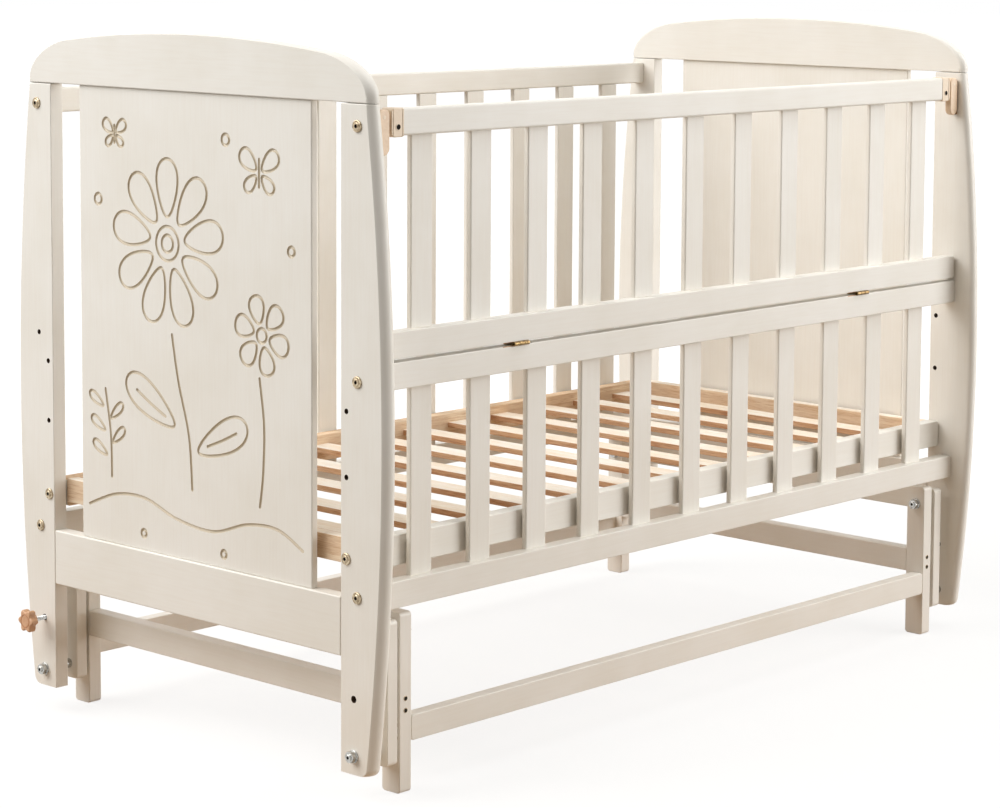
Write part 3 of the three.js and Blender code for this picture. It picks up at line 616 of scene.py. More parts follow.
def bolt(y, z, length, face=END_OUTER, gap=SEAT_GAP, head=BOLT_HEAD):
    """A bolt from an outer face inwards, with a domed hex-socket head."""
    shank = [(face - length, BOLT_RADIUS), (face + gap, BOLT_RADIUS)]
    return turned([*shank, *domed_head(face + gap, 1, *head)], y, z)


def sunk_screw(place, radius):
    """A screw in a face that looks along +Y: a thin raised rim round a socket in painted shade."""
    behind, dark, floor = (share * radius for share in SCREW_SHARES)
    bevel, narrower = SCREW_BEVEL
    profile = [(-SCREW_LENGTH, behind), (0, radius), (SCREW_RIM - bevel, radius)]
    profile += [(SCREW_RIM, radius - narrower), (SCREW_RIM, dark)]
    profile += [(SCREW_RIM, dark, True), (SCREW_FLOOR, floor, True)]
    return face_sideways(turned(profile, 0, 0), place)


def nut_stack(face, way):
    """From a seat outwards: a washer, a hexagon nut and a bolt's end with a centre dimple in painted shade.
    """
    nut = face + way * WASHER_THICKNESS
    nut_end = nut + way * NUT_HEIGHT
    bolt_end = nut_end + way * BOLT_PAST_NUT
    chamfer = way * NUT_CHAMFER
    plain = hexagon(NUT_RADIUS)
    cut = hexagon(NUT_RADIUS, NUT_CUT_SHARE * NUT_RADIUS)
    bevel, narrower = BOLT_END_CHAMFER
    dimple, dimple_floor, dimple_depth = BOLT_DIMPLE
    return [
        (face, WASHER_RADIUS),
        (nut - way * WASHER_EDGE, WASHER_RADIUS),
        (nut, WASHER_RADIUS - WASHER_EDGE),
        (nut, cut),
        (nut + chamfer, plain),
        (nut_end - chamfer, plain),
        (nut_end, cut),
        (nut_end, PIVOT_BOLT_RADIUS),
        (bolt_end - way * bevel, PIVOT_BOLT_RADIUS),
        (bolt_end, PIVOT_BOLT_RADIUS - narrower),
        (bolt_end, dimple),
        (bolt_end, dimple, True),
        (bolt_end - way * dimple_depth, dimple_floor, True),
    ]


# Objects

SHARP_ANGLE = math.radians(32)


def finish(name, bm, looks, body, nodes=()):
    """Makes the object, rides it on its body and hides the nodes that it stands for."""
    obj = link(name, mesh_of(name, bm))
    for look in looks if isinstance(looks, tuple) else (looks,):
        obj.data.materials.append(look)
    shade(obj.data)
    obj.modifiers.new("even normals", "WEIGHTED_NORMAL").keep_sharp = True
    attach(obj, body)
    if nodes:
        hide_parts(*nodes)
    return obj


def shade(mesh):
    for polygon in mesh.polygons:
        polygon.use_smooth = True
    mesh.set_sharp_from_angle(angle=SHARP_ANGLE)


def stand_in(node, bm, looks, name=None):
    """A piece that takes the place of one node."""
    return finish(name or f"{node}_shaped", bm, looks, body_of[node], [node])


def carve(obj, cutter_bm, inner):
    """Cuts a shape out of a piece; the new faces show the material given."""
    cutter = link("cutter", mesh_of("cutter", cutter_bm))
    cutter.data.materials.append(inner)
    cut = obj.modifiers.new("cut", "BOOLEAN")
    cut.object = cutter
    cut.solver = "EXACT"
    cut.use_self = True
    cut.material_mode = "TRANSFER"
    obj.modifiers.move(len(obj.modifiers) - 1, 0)
    normals = obj.modifiers["even normals"]
    normals.show_viewport = False
    bpy.context.view_layer.update()
    obj.data = bpy.data.meshes.new_from_object(obj.evaluated_get(bpy.context.evaluated_depsgraph_get()))
    normals.show_viewport = True
    obj.modifiers.remove(cut)
    bpy.data.objects.remove(cutter)
    shade(obj.data)


def drill(obj, holes, inner):
    """Round holes right through along X, each given as y, z and radius."""
    reach = 2 * END_OUTER
    rods = [turned([(MIDDLE_X - reach, r), (MIDDLE_X + reach, r)], y, z) for y, z, r in holes]
    carve(obj, merge(rods), inner)


def bar_like(node, axis, radius, end=FIRM_END, play=0, look=None, slot=PAINTED):
    """A bar of the node's own size, less any play at its ends, painted if no look is given."""
    shape = block(axis, *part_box(node), radius, end, play)
    return stand_in(node, shape, look or paint[axis])


def plank(low, high):
    """A rail along X whose ends have round corners, seen from the front."""
    return block("y", low, high, PLANK_CORNER, FACE_EDGE)


def plank_like(node):
    return stand_in(node, plank(*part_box(node)), paint["x"])


# Ends

def post_outer_edge(z):
    """How far a post reaches outwards: it bulges between foot and head, and its foot's corner is round."""
    t = (z - POST_BOTTOM) / (POST_TOP - POST_BOTTOM)
    straight = POST_FOOT_WIDTH + (POST_HEAD_WIDTH - POST_FOOT_WIDTH) * t
    bulge = POST_BELLY_WIDTH - (POST_FOOT_WIDTH + POST_HEAD_WIDTH) / 2
    lift = POST_FOOT_ROUND - min(z - POST_BOTTOM, POST_FOOT_ROUND)
    rounding = POST_FOOT_ROUND - math.sqrt(POST_FOOT_ROUND ** 2 - lift ** 2)
    return POST_INNER + straight + 4 * bulge * t * (1 - t) - rounding


EDGE_CENTRE = END_INNER + EDGE_ROUND
EDGE_TURN = math.asin((END_OUTER - EDGE_CENTRE) / EDGE_RADIUS) / (math.pi / 2)


def post_outline(z):
    """A post's section: from a crisp line on the outer face, a wide arc and then a smaller one."""
    top_edge = max(0, z - POST_TOP + SEAM + FIRM_END)
    inset = FIRM_END - math.sqrt(FIRM_END ** 2 - top_edge ** 2)
    edge = post_outer_edge(z) - inset
    low, high, inner = END_INNER + inset, END_OUTER - inset, POST_INNER + inset + FIRM_END
    wide = arc(EDGE_CENTRE, edge - EDGE_RADIUS, EDGE_RADIUS, 1 - EDGE_TURN, 1, 10)
    small = arc(EDGE_CENTRE, edge - EDGE_ROUND, EDGE_ROUND, 1, 2, 8)[1:]
    return [
        *arc(high - FIRM_END, inner, FIRM_END, -1, 0, 3),
        *((min(x, high), y) for x, y in wide),
        *((max(x, low), y) for x, y in small),
        *arc(low + FIRM_END, inner, FIRM_END, 2, 3, 3),
    ]


def post(steps=36):
    start = POST_BOTTOM + POST_FOOT_ROUND
    stop = POST_TOP - SEAM - FIRM_END
    heights = [POST_BOTTOM + POST_FOOT_ROUND * (1 - math.cos(a)) for a in quarter(8)[:-1]]
    heights += [start + (stop - start) * i / steps for i in range(steps + 1)]
    heights += [stop + FIRM_END * math.sin(a) for a in quarter(4)[1:]]
    return skin([ring("z", z, post_outline(z)) for z in heights])


def bend(start, pull_start, pull_end, end, steps=18):
    """Points on a cubic Bezier line."""
    line = []
    for i in range(steps + 1):
        t = i / steps
        s = 1 - t
        line.append(s ** 3 * start + 3 * s * s * t * pull_start + 3 * s * t * t * pull_end + t ** 3 * end)
    return line


def cap_outline(inset, depth):
    """A cap's section: flat below with a fine edge, short straight ends, soft corners, a flat arc over."""
    spare = max(0, FIRM_END - depth)
    bottom = FIRM_END - math.sqrt(FIRM_END ** 2 - spare ** 2)
    lean = math.asin((CAP_HALF - CAP_CORNER) / CAP_CROWN_RADIUS)
    share = lean / (math.pi / 2)
    crown = arc(0, CAP_TOP - CAP_CROWN_RADIUS, CAP_CROWN_RADIUS, 1 - share, 1 + share, 48)
    first, last = Vector((CAP_HALF, CAP_BOTTOM + CAP_END_HEIGHT)), Vector(crown[0])
    pull_up, pull_along = CAP_CORNER_PULLS
    along = Vector((math.cos(lean), -math.sin(lean)))
    corner = bend(first, first + Vector((0, pull_up)), last + pull_along * along, last)
    other = [(-y, z) for y, z in reversed(corner)]
    narrow = 1 - inset / CAP_HALF
    flat = 1 - CAP_TOP_SHARE * inset / (CAP_TOP - CAP_BOTTOM)
    low = CAP_BOTTOM + bottom
    end = CAP_HALF - inset - bottom
    return [
        (-end, low),
        (end, low),
        *((y * narrow, CAP_BOTTOM + (z - CAP_BOTTOM) * flat) for y, z in (*corner, *crown[1:-1], *other)),
    ]


def cap():
    rings = []
    for a in quarter(8)[:-1]:
        depth = EDGE_ROUND * (1 - math.cos(a))
        rings.append(ring("x", END_INNER + depth, cap_outline(EDGE_ROUND * (1 - math.sin(a)), depth)))
    for a in quarter(10, EDGE_TURN):
        x = EDGE_CENTRE + EDGE_RADIUS * math.sin(a)
        rings.append(ring("x", x, cap_outline(EDGE_RADIUS * (1 - math.cos(a)), END_OUTER - x)))
    return skin(rings)


# A bolt for each rail that meets a post, and one for the mattress base
TOP_BOLT = SIDE_TOP - RAIL_HEIGHT / 2 - RAIL_BOLT_SHIFT
MIDDLE_BOLT = LOWER_TOP - RAIL_HEIGHT / 2 - RAIL_BOLT_SHIFT
BOTTOM_BOLT = SIDE_BOTTOM + RAIL_HEIGHT / 2 + RAIL_BOLT_SHIFT
RAIL_BOLTS = {FRONT: (TOP_BOLT, MIDDLE_BOLT, BOTTOM_BOLT), BACK: (TOP_BOLT, BOTTOM_BOLT)}
RAIL_BOLT_Y = SIDE_INNER + RAIL_BOLT_INSET
BASE_BOLT_Y = BASE_BACK - BASE_RAIL_THICKNESS / 2


def add_posts():
    for depth, side_y in SIDES_Y.items():
        open_holes = [(side_y * BASE_BOLT_Y, z, BOLT_HOLE_RADIUS) for z in BASE_BOLT_HEIGHTS[1:]]
        open_holes.append((side_y * PIVOT_Y, LOCK_HEIGHT, LOCK_HOLE_RADIUS))
        if side_y == BACK:
            open_holes.append((RAIL_BOLT_Y, MIDDLE_BOLT, BOLT_HOLE_RADIUS))
        for width, side_x in SIDES_X.items():
            corner = f"{depth}_{width}"
            obj = stand_in(f"post_{corner}", mirrored(post(), side_x, side_y), paint["z"])
            drill(obj, open_holes, bore_shade_wood)
            heads = [bolt(RAIL_BOLT_Y, z, RAIL_BOLT_LENGTH) for z in RAIL_BOLTS[side_y]]
            bolts = mirrored(merge(heads), side_x, side_y)
            finish(f"rail_bolts_{corner}", bolts, (bronze, hollow_shade), "crib_body")
            base = mirrored(bolt(BASE_BOLT_Y, BASE_BOLT_HEIGHTS[0], BASE_BOLT_LENGTH), side_x, side_y)
            stand_in(f"base_bolt_{corner}", base, (bronze, hollow_shade))


def add_ends():
    for width, side_x in SIDES_X.items():
        stand_in(f"cap_{width}", mirrored(cap(), side_x), paint["y"])
        obj = bar_like(f"board_{width}", "z", RAIL_ROUND)
        if side_x == LEFT:
            face_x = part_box("board_left")[0].x
            # The grooves' walls get the paint darkened as painted shade
            carve(obj, merge([groove(line, closed, face_x) for line, closed in carved_lines()]), carved_shade_paint)
        bar_like(f"end_rail_{width}", "y", RAIL_ROUND, play=SEAM)


# Carved flowers on the left board's outer face, in millimetres: across the board, then up.
# Each line is a list of points, and True if the line is closed.

GROOVE_RADIUS = 0.0022
PETAL_WIDTHS = (0.55, 0.6)  # of a petal's width: at its root, and what its tip adds
WING_ROOT = (0.16, 0.12)  # of a butterfly's size
WINGS = ((0.75, 1.0, 0.75), (-0.65, 0.75, 0.55))  # rise, reach and width


def smooth_line(points, steps=10):
    """An open Catmull-Rom line through the points."""
    vectors = [Vector(point) for point in points]
    last = len(vectors) - 1
    line = []
    for i in range(last):
        before, here, after, beyond = (vectors[min(max(i + k, 0), last)] for k in (-1, 0, 1, 2))
        for step in range(steps):
            t = step / steps
            line.append(
                0.5 * (2 * here + (after - before) * t
                       + (2 * before - 5 * here + 4 * after - beyond) * t ** 2
                       + (3 * here - before - 3 * after + beyond) * t ** 3)
            )
    return [*line, vectors[-1]], False


def drop(root, tip, width, steps=36):
    """A closed petal or leaf from root to tip, widest beyond its middle."""
    root, tip = Vector(root), Vector(tip)
    along = tip - root
    across = Vector((-along.y, along.x)).normalized()
    least, more = PETAL_WIDTHS
    line = []
    for a in circle(steps):
        share = (1 - math.cos(a)) / 2
        line.append(root + along * share + across * (width / 2 * math.sin(a) * (least + more * share)))
    return line, True


def spokes(count, shift=0):
    """Unit vectors all round."""
    return [Vector((math.cos(a), math.sin(a))) for a in circle(count, shift)]


def loop(centre, radius, steps=28):
    return [Vector(centre) + radius * way for way in spokes(steps)], True


def flower(centre, petals, inner, outer, width, eye):
    middle = Vector(centre)
    shapes = [drop(middle + inner * way, middle + outer * way, width) for way in spokes(petals, 0.25)]
    return [loop(centre, eye), *shapes]


def butterfly(centre, size):
    middle = Vector(centre)
    lines = [smooth_line([middle + Vector((0, rise * size)) for rise in (-0.5, 0, 0.5)])]
    for side in (-1, 1):
        for rise, reach, width in WINGS:
            root = middle + size * Vector((side * WING_ROOT[0], math.copysign(WING_ROOT[1], rise)))
            lines.append(drop(root, middle + size * Vector((side * reach, rise)), width * size))
    return lines


def sprig(foot, top, leaves):
    """A stem with small leaves to both sides."""
    foot, top = Vector(foot), Vector(top)
    along = (top - foot).normalized()
    across = Vector((-along.y, along.x))
    sway, gap, reach, rise, width = 4, 7, 26, 18, 13
    lines = [smooth_line([foot, (foot + top) / 2 + across * sway, top])]
    for i in range(leaves):
        side = 1 if i % 2 else -1
        root = foot + (top - foot) * (0.25 + 0.7 * i / leaves) + across * side * gap
        lines.append(drop(root, root + across * side * reach + along * rise, width))
    return lines


def carved_lines():
    hills = [(206, 296), (150, 316), (92, 318), (30, 300), (-40, 294), (-104, 312), (-160, 314), (-206, 294)]
    return [
        *flower((46, 652), 9, 34, 108, 46, 22),
        loop((46, 652), 11),
        smooth_line([(38, 536), (26, 478), (6, 410), (0, 342)]),
        drop((34, 420), (128, 472), 48),
        smooth_line([(52, 430), (82, 444), (108, 458)]),
        drop((-12, 392), (-104, 436), 46),
        smooth_line([(-30, 401), (-58, 412), (-84, 424)]),
        *flower((-132, 552), 6, 15, 50, 30, 9),
        smooth_line([(-128, 498), (-136, 440), (-134, 380), (-128, 338)]),
        *sprig((160, 338), (172, 452), 5),
        smooth_line(hills),
        *butterfly((-128, 752), 34),
        *butterfly((150, 786), 22),
        loop((-66, 790), 7),
        loop((-186, 660), 6),
        loop((184, 700), 7),
        loop((-60, 268), 5),
        loop((96, 272), 5),
    ]


def groove(line, closed, face_x, sides=10):
    """A round cutter whose axis lies in the board's face, with round ends."""
    points = [Vector((face_x, p.x / 1000, p.y / 1000)) for p in line]
    before = [points[-1 if closed else 0], *points]
    after = [*points[1:], points[0 if closed else -1]]
    stations = [(p, (far - near).normalized(), 1.0) for near, p, far in zip(before, points, after)]
    if not closed:
        for end, way in ((0, -1), (-1, 1)):
            point, along, _ = stations[end]
            for turn in (30, 55, 80):
                a = math.radians(turn)
                station = (point + way * along * GROOVE_RADIUS * math.sin(a), along, math.cos(a))
                stations.insert(0 if way < 0 else len(stations), station)
    outward = Vector((1, 0, 0))
    rings = []
    for point, along, share in stations:
        across = outward.cross(along)
        rings.append([
            point + GROOVE_RADIUS * share * (math.cos(a) * across + math.sin(a) * outward)
            for a in circle(sides, 0.5)
        ])
    return skin(rings, closed=closed)


# Long sides

def slat_spans(start, stop, count):
    """Where slats lie that have equal gaps between them and at both ends."""
    gap = (stop - start - count * SLAT_WIDTH) / (count + 1)
    starts = (start + gap + i * (gap + SLAT_WIDTH) for i in range(count))
    return [(x, x + SLAT_WIDTH) for x in starts]


def add_slatted(node, side):
    """A bottom rail, and the slats that are glued into it."""
    low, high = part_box(node)
    rail = plank(low, Vector((high.x, high.y, low.z + RAIL_HEIGHT)))
    rail_piece = stand_in(node, rail, paint["x"], name=node.replace("slats_and_", ""))
    inner = SIDE_INNER + SLAT_INSET
    y0, y1 = sorted((side * inner, side * (inner + SLAT_THICKNESS)))
    bottom = low.z + RAIL_HEIGHT - SLAT_IN_RAIL
    spans = slat_spans(MIDDLE_X - END_INNER, MIDDLE_X + END_INNER, SLAT_COUNT)
    bars = [bar("z", bottom, high.z, *span, y0, y1, SLAT_ROUND, SLAT_END_ROUND) for span in spans]
    finish(node.replace("_and_bottom_rail", ""), merge(bars), paint["z"], body_of[node])
    return rail_piece


def add_long_sides():
    bar_like("back_top_rail", "x", TOP_RAIL_ROUND)
    bar_like("folding_top_rail", "x", TOP_RAIL_ROUND, CAPPED_END)
    add_slatted("back_slats_and_bottom_rail", BACK)
    add_slatted("front_lower_slats_and_bottom_rail", FRONT)
    folding = add_slatted("folding_slats_and_bottom_rail", FRONT)
    lower = plank_like("front_lower_top_rail")
    for rail in (folding, lower):
        # The hinge grooves show raw wood darkened as painted shade
        carve(rail, merge([hinge_groove(middle) for middle in HINGE_MIDDLES]), shaded_raw_wood["x"])


# Mattress base

def second_look(bm, shows):
    """Gives the second look to the faces whose normal passes the test."""
    for face in bm.faces:
        face.normal_update()
        face.material_index = int(shows(face.normal))


def sideways(normal):
    return abs(normal.x) > 0.5


def add_mattress_base():
    plank_like("mattress_base_front_rail")
    node = "mattress_base_slats_and_back_rail"
    low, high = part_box(node)
    start = BASE_FRONT_RAIL[1].y + SEAT_GAP
    inner = high.y - BASE_RAIL_THICKNESS
    rail = plank(Vector((low.x, inner, low.z)), high)
    second_look(rail, lambda normal: normal.y < -0.5 or normal.z > 0.5)
    stand_in(node, rail, (paint["x"], end_wood["x"]), name="mattress_base_back_rail")
    top = high.z - BASE_SLAT_DROP
    place = (start, inner + SLAT_IN_RAIL, top - SLAT_THICKNESS, top)
    spans = slat_spans(low.x, high.x, BASE_SLAT_COUNT)
    slats = merge([bar("y", *place, *span, BASE_SLAT_ROUND, SLAT_END_ROUND) for span in spans])
    # Side faces get the raw wood darkened as painted shade, the others get it lightened as painted light
    second_look(slats, sideways)
    finish("mattress_base_slats", slats, (lit_raw_wood, shaded_raw_wood["y"]), body_of[node])
    outline = (low.z + BASE_END_RISE, high.z - BASE_END_DROP, BASE_END - BASE_END_THICKNESS, BASE_END)
    for width, side_x in SIDES_X.items():
        shape = mirrored(bar("y", start, inner - SEAT_GAP, *outline, BASE_END_ROUND, SLAT_END_ROUND), side_x)
        # Side faces get the raw wood as it is, the top and ends get it lightened as painted light
        second_look(shape, sideways)
        looks = (lit_raw_wood, end_wood["y"])
        finish(f"mattress_base_end_{width}", shape, looks, body_of[node])


# Stand and swing gear

def through(start, stop):
    """A pivot's shank through a piece."""
    return [(start - SEAT_GAP, PIVOT_BOLT_RADIUS), (stop + SEAT_GAP, PIVOT_BOLT_RADIUS)]


def between(start, stop, radius):
    """A ring on a pivot between two pieces."""
    return [(start + SEAT_GAP, radius), (stop - SEAT_GAP, radius)]


def upper_pivot():
    """Fixed to the leg: nut inside, washer between leg and link, domed head outside the link."""
    profile = nut_stack(LEG_INNER - SEAT_GAP, -1)[::-1]
    profile += through(LEG_INNER, LEG_OUTER) + between(LEG_OUTER, LINK_INNER, WASHER_RADIUS)
    profile += through(LINK_INNER, LINK_OUTER) + domed_head(LINK_OUTER + SEAT_GAP, 1, *PIVOT_HEAD)
    return turned(profile, PIVOT_Y, PIVOT_HIGH)


def lower_pivot():
    """Fixed to the post: domed head inside the link, spacer between link and post, nut outside."""
    profile = domed_head(LINK_INNER - SEAT_GAP, -1, *PIVOT_HEAD)[::-1]
    profile += through(LINK_INNER, LINK_OUTER) + between(LINK_OUTER, END_INNER, SPACER_RADIUS)
    profile += through(END_INNER, END_OUTER) + nut_stack(END_OUTER + SEAT_GAP, 1)
    return turned(profile, PIVOT_Y, PIVOT_LOW)


def leg_fixings():
    """Screws in a leg's narrow outer face, and flat bolts in its broad outer face."""
    middle = (LEG_INNER + LEG_OUTER) / 2
    screws = [sunk_screw((middle, LEG_FACE, z), LEG_SCREW_RADIUS) for z in LEG_SCREW_HEIGHTS]
    bolts = [bolt(y, z, LEG_BOLT_LENGTH, LEG_OUTER, 0, LEG_BOLT_HEAD) for y, z in LEG_BOLT_PLACES]
    return merge([*screws, *bolts])


def add_stand():
    for width, side_x in SIDES_X.items():
        bar_like(f"end_stretcher_{width}", "y", RAIL_ROUND)
        for depth, side_y in SIDES_Y.items():
            corner = f"{depth}_{width}"
            bar_like(f"leg_{corner}", "x", LEG_CORNER, FACE_EDGE, look=paint["z"])
            bar_like(f"link_{corner}", "x", LINK_CORNER, FACE_EDGE, look=paint["z"])
            for kind, shape in (("upper_pivot", upper_pivot()), ("lower_pivot", lower_pivot())):
                shape = mirrored(shape, side_x, side_y)
                stand_in(f"{kind}_{corner}", shape, (zinc, hollow_shade))
            fixings = mirrored(leg_fixings(), side_x, side_y)
            finish(f"leg_fixings_{corner}", fixings, (bronze, hollow_shade), "stand")
    plank_like("long_stretcher_front")
    plank_like("long_stretcher_back")


# Lock

def knob():
    """A star knob with a blind bore in painted shade, a rounded rim, and a ring groove and a dimple in its
    face.
    """
    def star(radius):
        return lambda a: radius - KNOB_LOBE_DEPTH * (1 - math.cos(KNOB_LOBES * a)) / 2
    bore = STUD_RADIUS + KNOB_BORE_PLAY
    hub_end = END_OUTER + LOCK_STANDOFF
    back = hub_end + KNOB_HUB_LENGTH
    face = back + KNOB_THICKNESS
    profile = [(hub_end + STUD_IN_KNOB + SEAT_GAP, bore, True), (hub_end, bore, True), (hub_end, bore)]
    profile += [(hub_end, KNOB_HUB_RADIUS - KNOB_HUB_EDGE), (hub_end + KNOB_HUB_EDGE, KNOB_HUB_RADIUS)]
    profile += [(back, KNOB_HUB_RADIUS)]
    profile += [(x, star(KNOB_RADIUS - inset)) for x, inset in round_edges(back, face, KNOB_EDGE_ROUND, 6)]
    profile += [(face - depth, radius) for radius, depth in (*KNOB_GROOVE, *KNOB_DIMPLE)]
    return turned(profile, PIVOT_Y, LOCK_HEIGHT, 16 * KNOB_LOBES)


def thread(x, taper):
    """A thread's radius by angle at a place on the stud; its crest follows a screw line."""
    def radius(a):
        phase = (x / THREAD_PITCH - a / (2 * math.pi)) % 1
        return STUD_RADIUS - taper - THREAD_DEPTH * abs(2 * phase - 1)
    return radius


def stud():
    low = END_INNER - LOCK_TIP_PAST_POST
    high = END_OUTER + LOCK_STANDOFF + STUD_IN_KNOB
    count = round((high - low) / THREAD_PITCH * THREAD_STEPS)
    profile = []
    for i in range(count + 1):
        x = low + (high - low) * i / count
        profile.append((x, thread(x, STUD_TIP_TAPER if i in (0, count) else 0)))
    return turned(profile, PIVOT_Y, LOCK_HEIGHT)


def add_lock():
    stand_in("lock_knob", mirrored(knob(), LEFT), (tan_plastic, hollow_shade))
    stand_in("lock_stud", mirrored(stud(), LEFT), zinc)


# Latches

def end_cap():
    """A rounded block with two raised lips and the lever's ear and pin, and its screw's place."""
    x0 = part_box("folding_top_rail")[1].x - MIDDLE_X - END_CAP_LAP
    x1 = x0 + END_CAP_LENGTH
    z0 = SIDE_TOP - RAIL_HEIGHT - END_CAP_DROP
    z1 = SIDE_TOP + END_CAP_RISE

    def outline(inset):
        small, big = (corner - inset for corner in END_CAP_CORNERS)
        return rounded(z0 + inset, z1 - inset, x0 + inset, x1 - inset, small, big, big, small)
    body = pillow("y", SIDE_INNER, SIDE_OUTER, outline, END_CAP_EDGE)
    span = (z0 + LIP_ENDS[0], z1 - LIP_ENDS[1])
    depth = (SIDE_OUTER - LIP_DEPTH, SIDE_OUTER + LIP_RISE)
    lips = [bar("z", *span, x0 + a, x0 + b, *depth, LIP_RISE, LIP_RISE) for a, b in LIP_SPANS]
    lever_low, lever_high = span_x("latch_lever_right")
    ear_face = LEVER_FACE - LEVER_THICKNESS - HINGE_HOLE_GAP
    ear_low, ear_high = (SIDE_TOP - down for down in EAR_SPAN)
    ear = bar("z", ear_low, ear_high, x1 - EAR_LAP, lever_high - EAR_INSET, SIDE_INNER, ear_face, EAR_INSET)
    rim, narrower = LEVER_PIN_EDGE
    profile = [(-LEVER_THICKNESS - LEVER_PIN_REACH, LEVER_PIN_RADIUS), (-rim, LEVER_PIN_RADIUS)]
    pin = turned([*profile, (rim, LEVER_PIN_RADIUS - narrower)], 0, 0)
    face_sideways(pin, ((lever_low + lever_high) / 2, LEVER_FACE, SIDE_TOP - LEVER_PIN_DROP))
    screw_place = ((x0 + x1) / 2 - END_CAP_SCREW_SHIFT, SIDE_OUTER, SIDE_TOP - END_CAP_SCREW_DROP)
    return merge([body, *lips, ear, pin]), screw_place


def lever():
    """A tongue with a round lower end and round upper corners."""
    x = sum(span_x("latch_lever_right")) / 2
    half = LEVER_WIDTH / 2
    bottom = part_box("latch_lever_right")[0].z + LEVER_LIFT + half
    top = SIDE_TOP - LEVER_TOP_DROP - LEVER_CORNER
    side = half - LEVER_CORNER

    def outline(inset):
        corner = LEVER_CORNER - inset
        return [
            *arc(bottom, x, half - inset, 1, 3, 20),
            *arc(top, x - side, corner, -1, 0),
            *arc(top, x + side, corner, 0, 1),
        ]
    return pillow("y", LEVER_FACE - LEVER_THICKNESS, LEVER_FACE, outline, LEVER_EDGE)


def add_latches():
    for width, side_x in SIDES_X.items():
        cap_body, screw_place = end_cap()
        node = f"end_cap_{width}"
        stand_in(node, mirrored(cap_body, side_x, FRONT), beige_plastic)
        screw = mirrored(sunk_screw(screw_place, END_CAP_SCREW_RADIUS), side_x, FRONT)
        finish(f"end_cap_screw_{width}", screw, (beige_plastic, hollow_shade), body_of[node])
        tongue = mirrored(lever(), side_x, FRONT)
        stand_in(f"latch_lever_{width}", tongue, lever_plastic)
        bar_like(f"strike_plate_{width}", "x", *STRIKE_PLATE_ROUNDS, look=brown_plastic, slot="brown_plastic")


# Hinges

HINGE_AXIS_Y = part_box("hinge_left_lower_leaf")[0].y + HINGE_BARREL_RADIUS
HINGE_AXIS_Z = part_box("hinge_left_lower_leaf")[0].z + HINGE_BARREL_RADIUS
HINGE_MIDDLES = [sum(corner.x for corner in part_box(f"hinge_{width}_lower_leaf")) / 2 for width in SIDES_X]


def hinge_groove(middle):
    """Room round a barrel, open beyond its left end."""
    half = HINGE_BARREL_LENGTH / 2 + HINGE_KNUCKLE_GAP
    radius = HINGE_BARREL_RADIUS + HINGE_HOLE_GAP
    ends = (middle - half - HINGE_SLOT_LENGTH, middle + half)
    return turned([(x, radius) for x in ends], HINGE_AXIS_Y, HINGE_AXIS_Z)


def knuckle(x0, x1):
    r, edge = HINGE_BARREL_RADIUS, HINGE_KNUCKLE_EDGE
    profile = [(x0, r - edge), (x0 + edge, r), (x1 - edge, r), (x1, r - edge)]
    return turned(profile, HINGE_AXIS_Y, HINGE_AXIS_Z, 32)


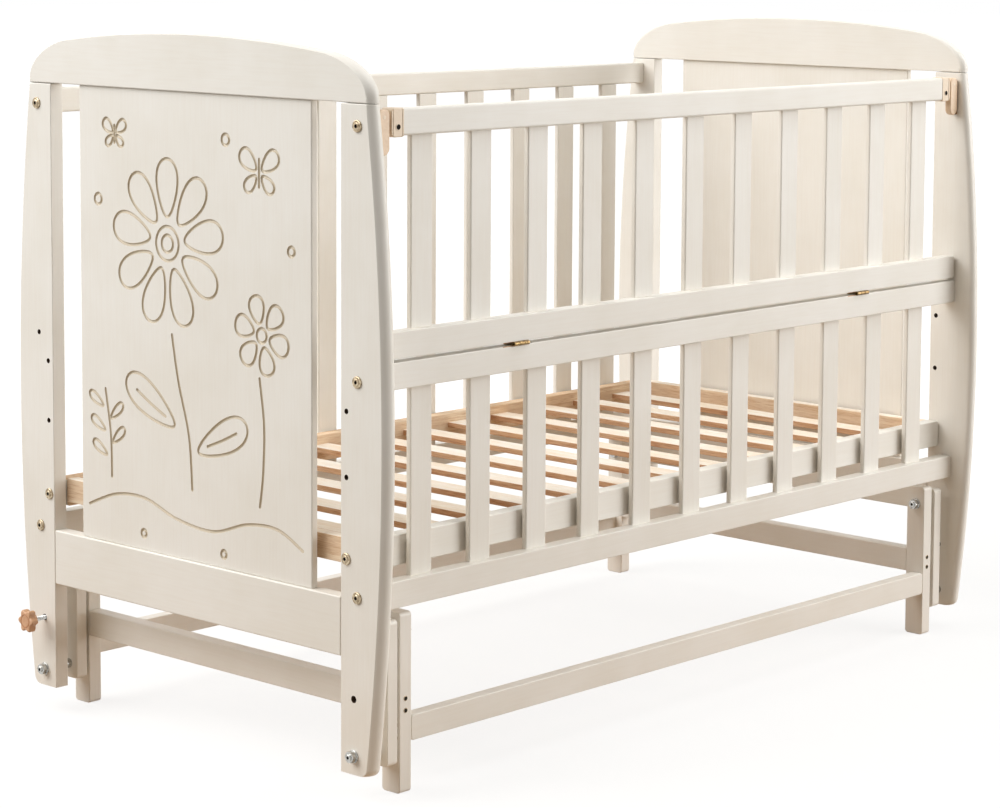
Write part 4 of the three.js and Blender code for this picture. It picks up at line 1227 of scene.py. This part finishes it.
def hinge_leaf(node, middle, lower):
    """A plate in the fold's gap with its own knuckles; the lower leaf has the pin's heads too."""
    low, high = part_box(node)
    left = middle - HINGE_BARREL_LENGTH / 2
    pitch = HINGE_BARREL_LENGTH / HINGE_KNUCKLES
    plate_front = HINGE_AXIS_Y + HINGE_BARREL_RADIUS + HINGE_HOLE_GAP
    z0 = HINGE_AXIS_Z - HINGE_LEAF_REST if lower else HINGE_AXIS_Z + HINGE_LEAF_REST - HINGE_LEAF_THICKNESS
    z1 = z0 + HINGE_LEAF_THICKNESS
    section = (z0, z1, HINGE_LEAF_ROUND, HINGE_LEAF_ROUND)
    bodies = [bar("x", low.x, high.x, plate_front, plate_front + HINGE_LEAF_DEPTH, *section)]
    for i in range(0 if lower else 1, HINGE_KNUCKLES, 2):
        x0 = left + i * pitch + HINGE_KNUCKLE_GAP / 2
        x1 = left + (i + 1) * pitch - HINGE_KNUCKLE_GAP / 2
        bodies.append(knuckle(x0, x1))
        tongue = (HINGE_AXIS_Y + HINGE_TONGUE_START, plate_front + HINGE_TONGUE_LAP)
        bodies.append(bar("x", x0, x1, *tongue, *section))
    if lower:
        ends = (left + HINGE_PIN_INSET, left + HINGE_BARREL_LENGTH - HINGE_PIN_INSET)
        bodies.append(turned([(x, HINGE_PIN_RADIUS) for x in ends], HINGE_AXIS_Y, HINGE_AXIS_Z))
    return merge(bodies)


def add_hinges():
    for width, middle in zip(SIDES_X, HINGE_MIDDLES):
        for kind in ("lower", "upper"):
            node = f"hinge_{width}_{kind}_leaf"
            stand_in(node, hinge_leaf(node, middle, kind == "lower"), brass)


# Floor and lamps

def add_floor():
    bm = bmesh.new()
    bmesh.ops.create_grid(bm, x_segments=8, y_segments=8, size=FLOOR_REACH)
    floor = link("floor", mesh_of("floor", bm))
    look = new_look("floor")
    far = look.node("VectorMath", {0: look.place()}, operation="LENGTH").outputs["Value"]
    around = look.range(far, 0.0, 1.0, *FLOOR_TINT_SPAN)
    look.feed("Base Color", look.ramp(around, list(enumerate(FLOOR_TINTS))))
    look.feed("Roughness", 0.9)
    look.feed("Specular IOR Level", 0.0)
    glow = look.node("Emission", {"Strength": look.range(far, FLOOR_GLOW, 1.0, *FLOOR_SHADE_SPAN)})
    pale = look.node("BsdfDiffuse", {"Color": FLOOR_DIFFUSE})
    both = look.node("AddShader", {0: glow.outputs[0], 1: pale.outputs[0]})
    look.show(look.shader, both, "Material Output")
    floor.data.materials.append(look.owner)


def add_lights():
    world = bpy.data.worlds.new("studio")
    bpy.context.scene.world = world
    look = Look(world, "Background")
    look.feed("Color", WARM_FILL)
    look.feed("Strength", FILL_STRENGTH)
    backdrop = look.node("Background", {"Color": (1, 1, 1, 1)})
    look.show(look.shader, backdrop, "World Output")
    for name, (place, side, watts) in LAMPS.items():
        lamp = bpy.data.lights.new(name, "AREA")
        lamp.shape = "SQUARE"
        lamp.size = side
        lamp.energy = watts
        holder = link(name, lamp)
        holder.location = (MIDDLE_X + place[0], *place[1:])
        way = Vector((MIDDLE_X, 0, LAMP_TARGET_HEIGHT)) - holder.location
        holder.rotation_euler = way.to_track_quat("-Z", "Y").to_euler()


add_posts()
add_ends()
add_long_sides()
add_mattress_base()
add_stand()
add_lock()
add_latches()
add_hinges()
add_floor()
add_lights()
bpy.context.scene.view_settings.view_transform = "Standard"
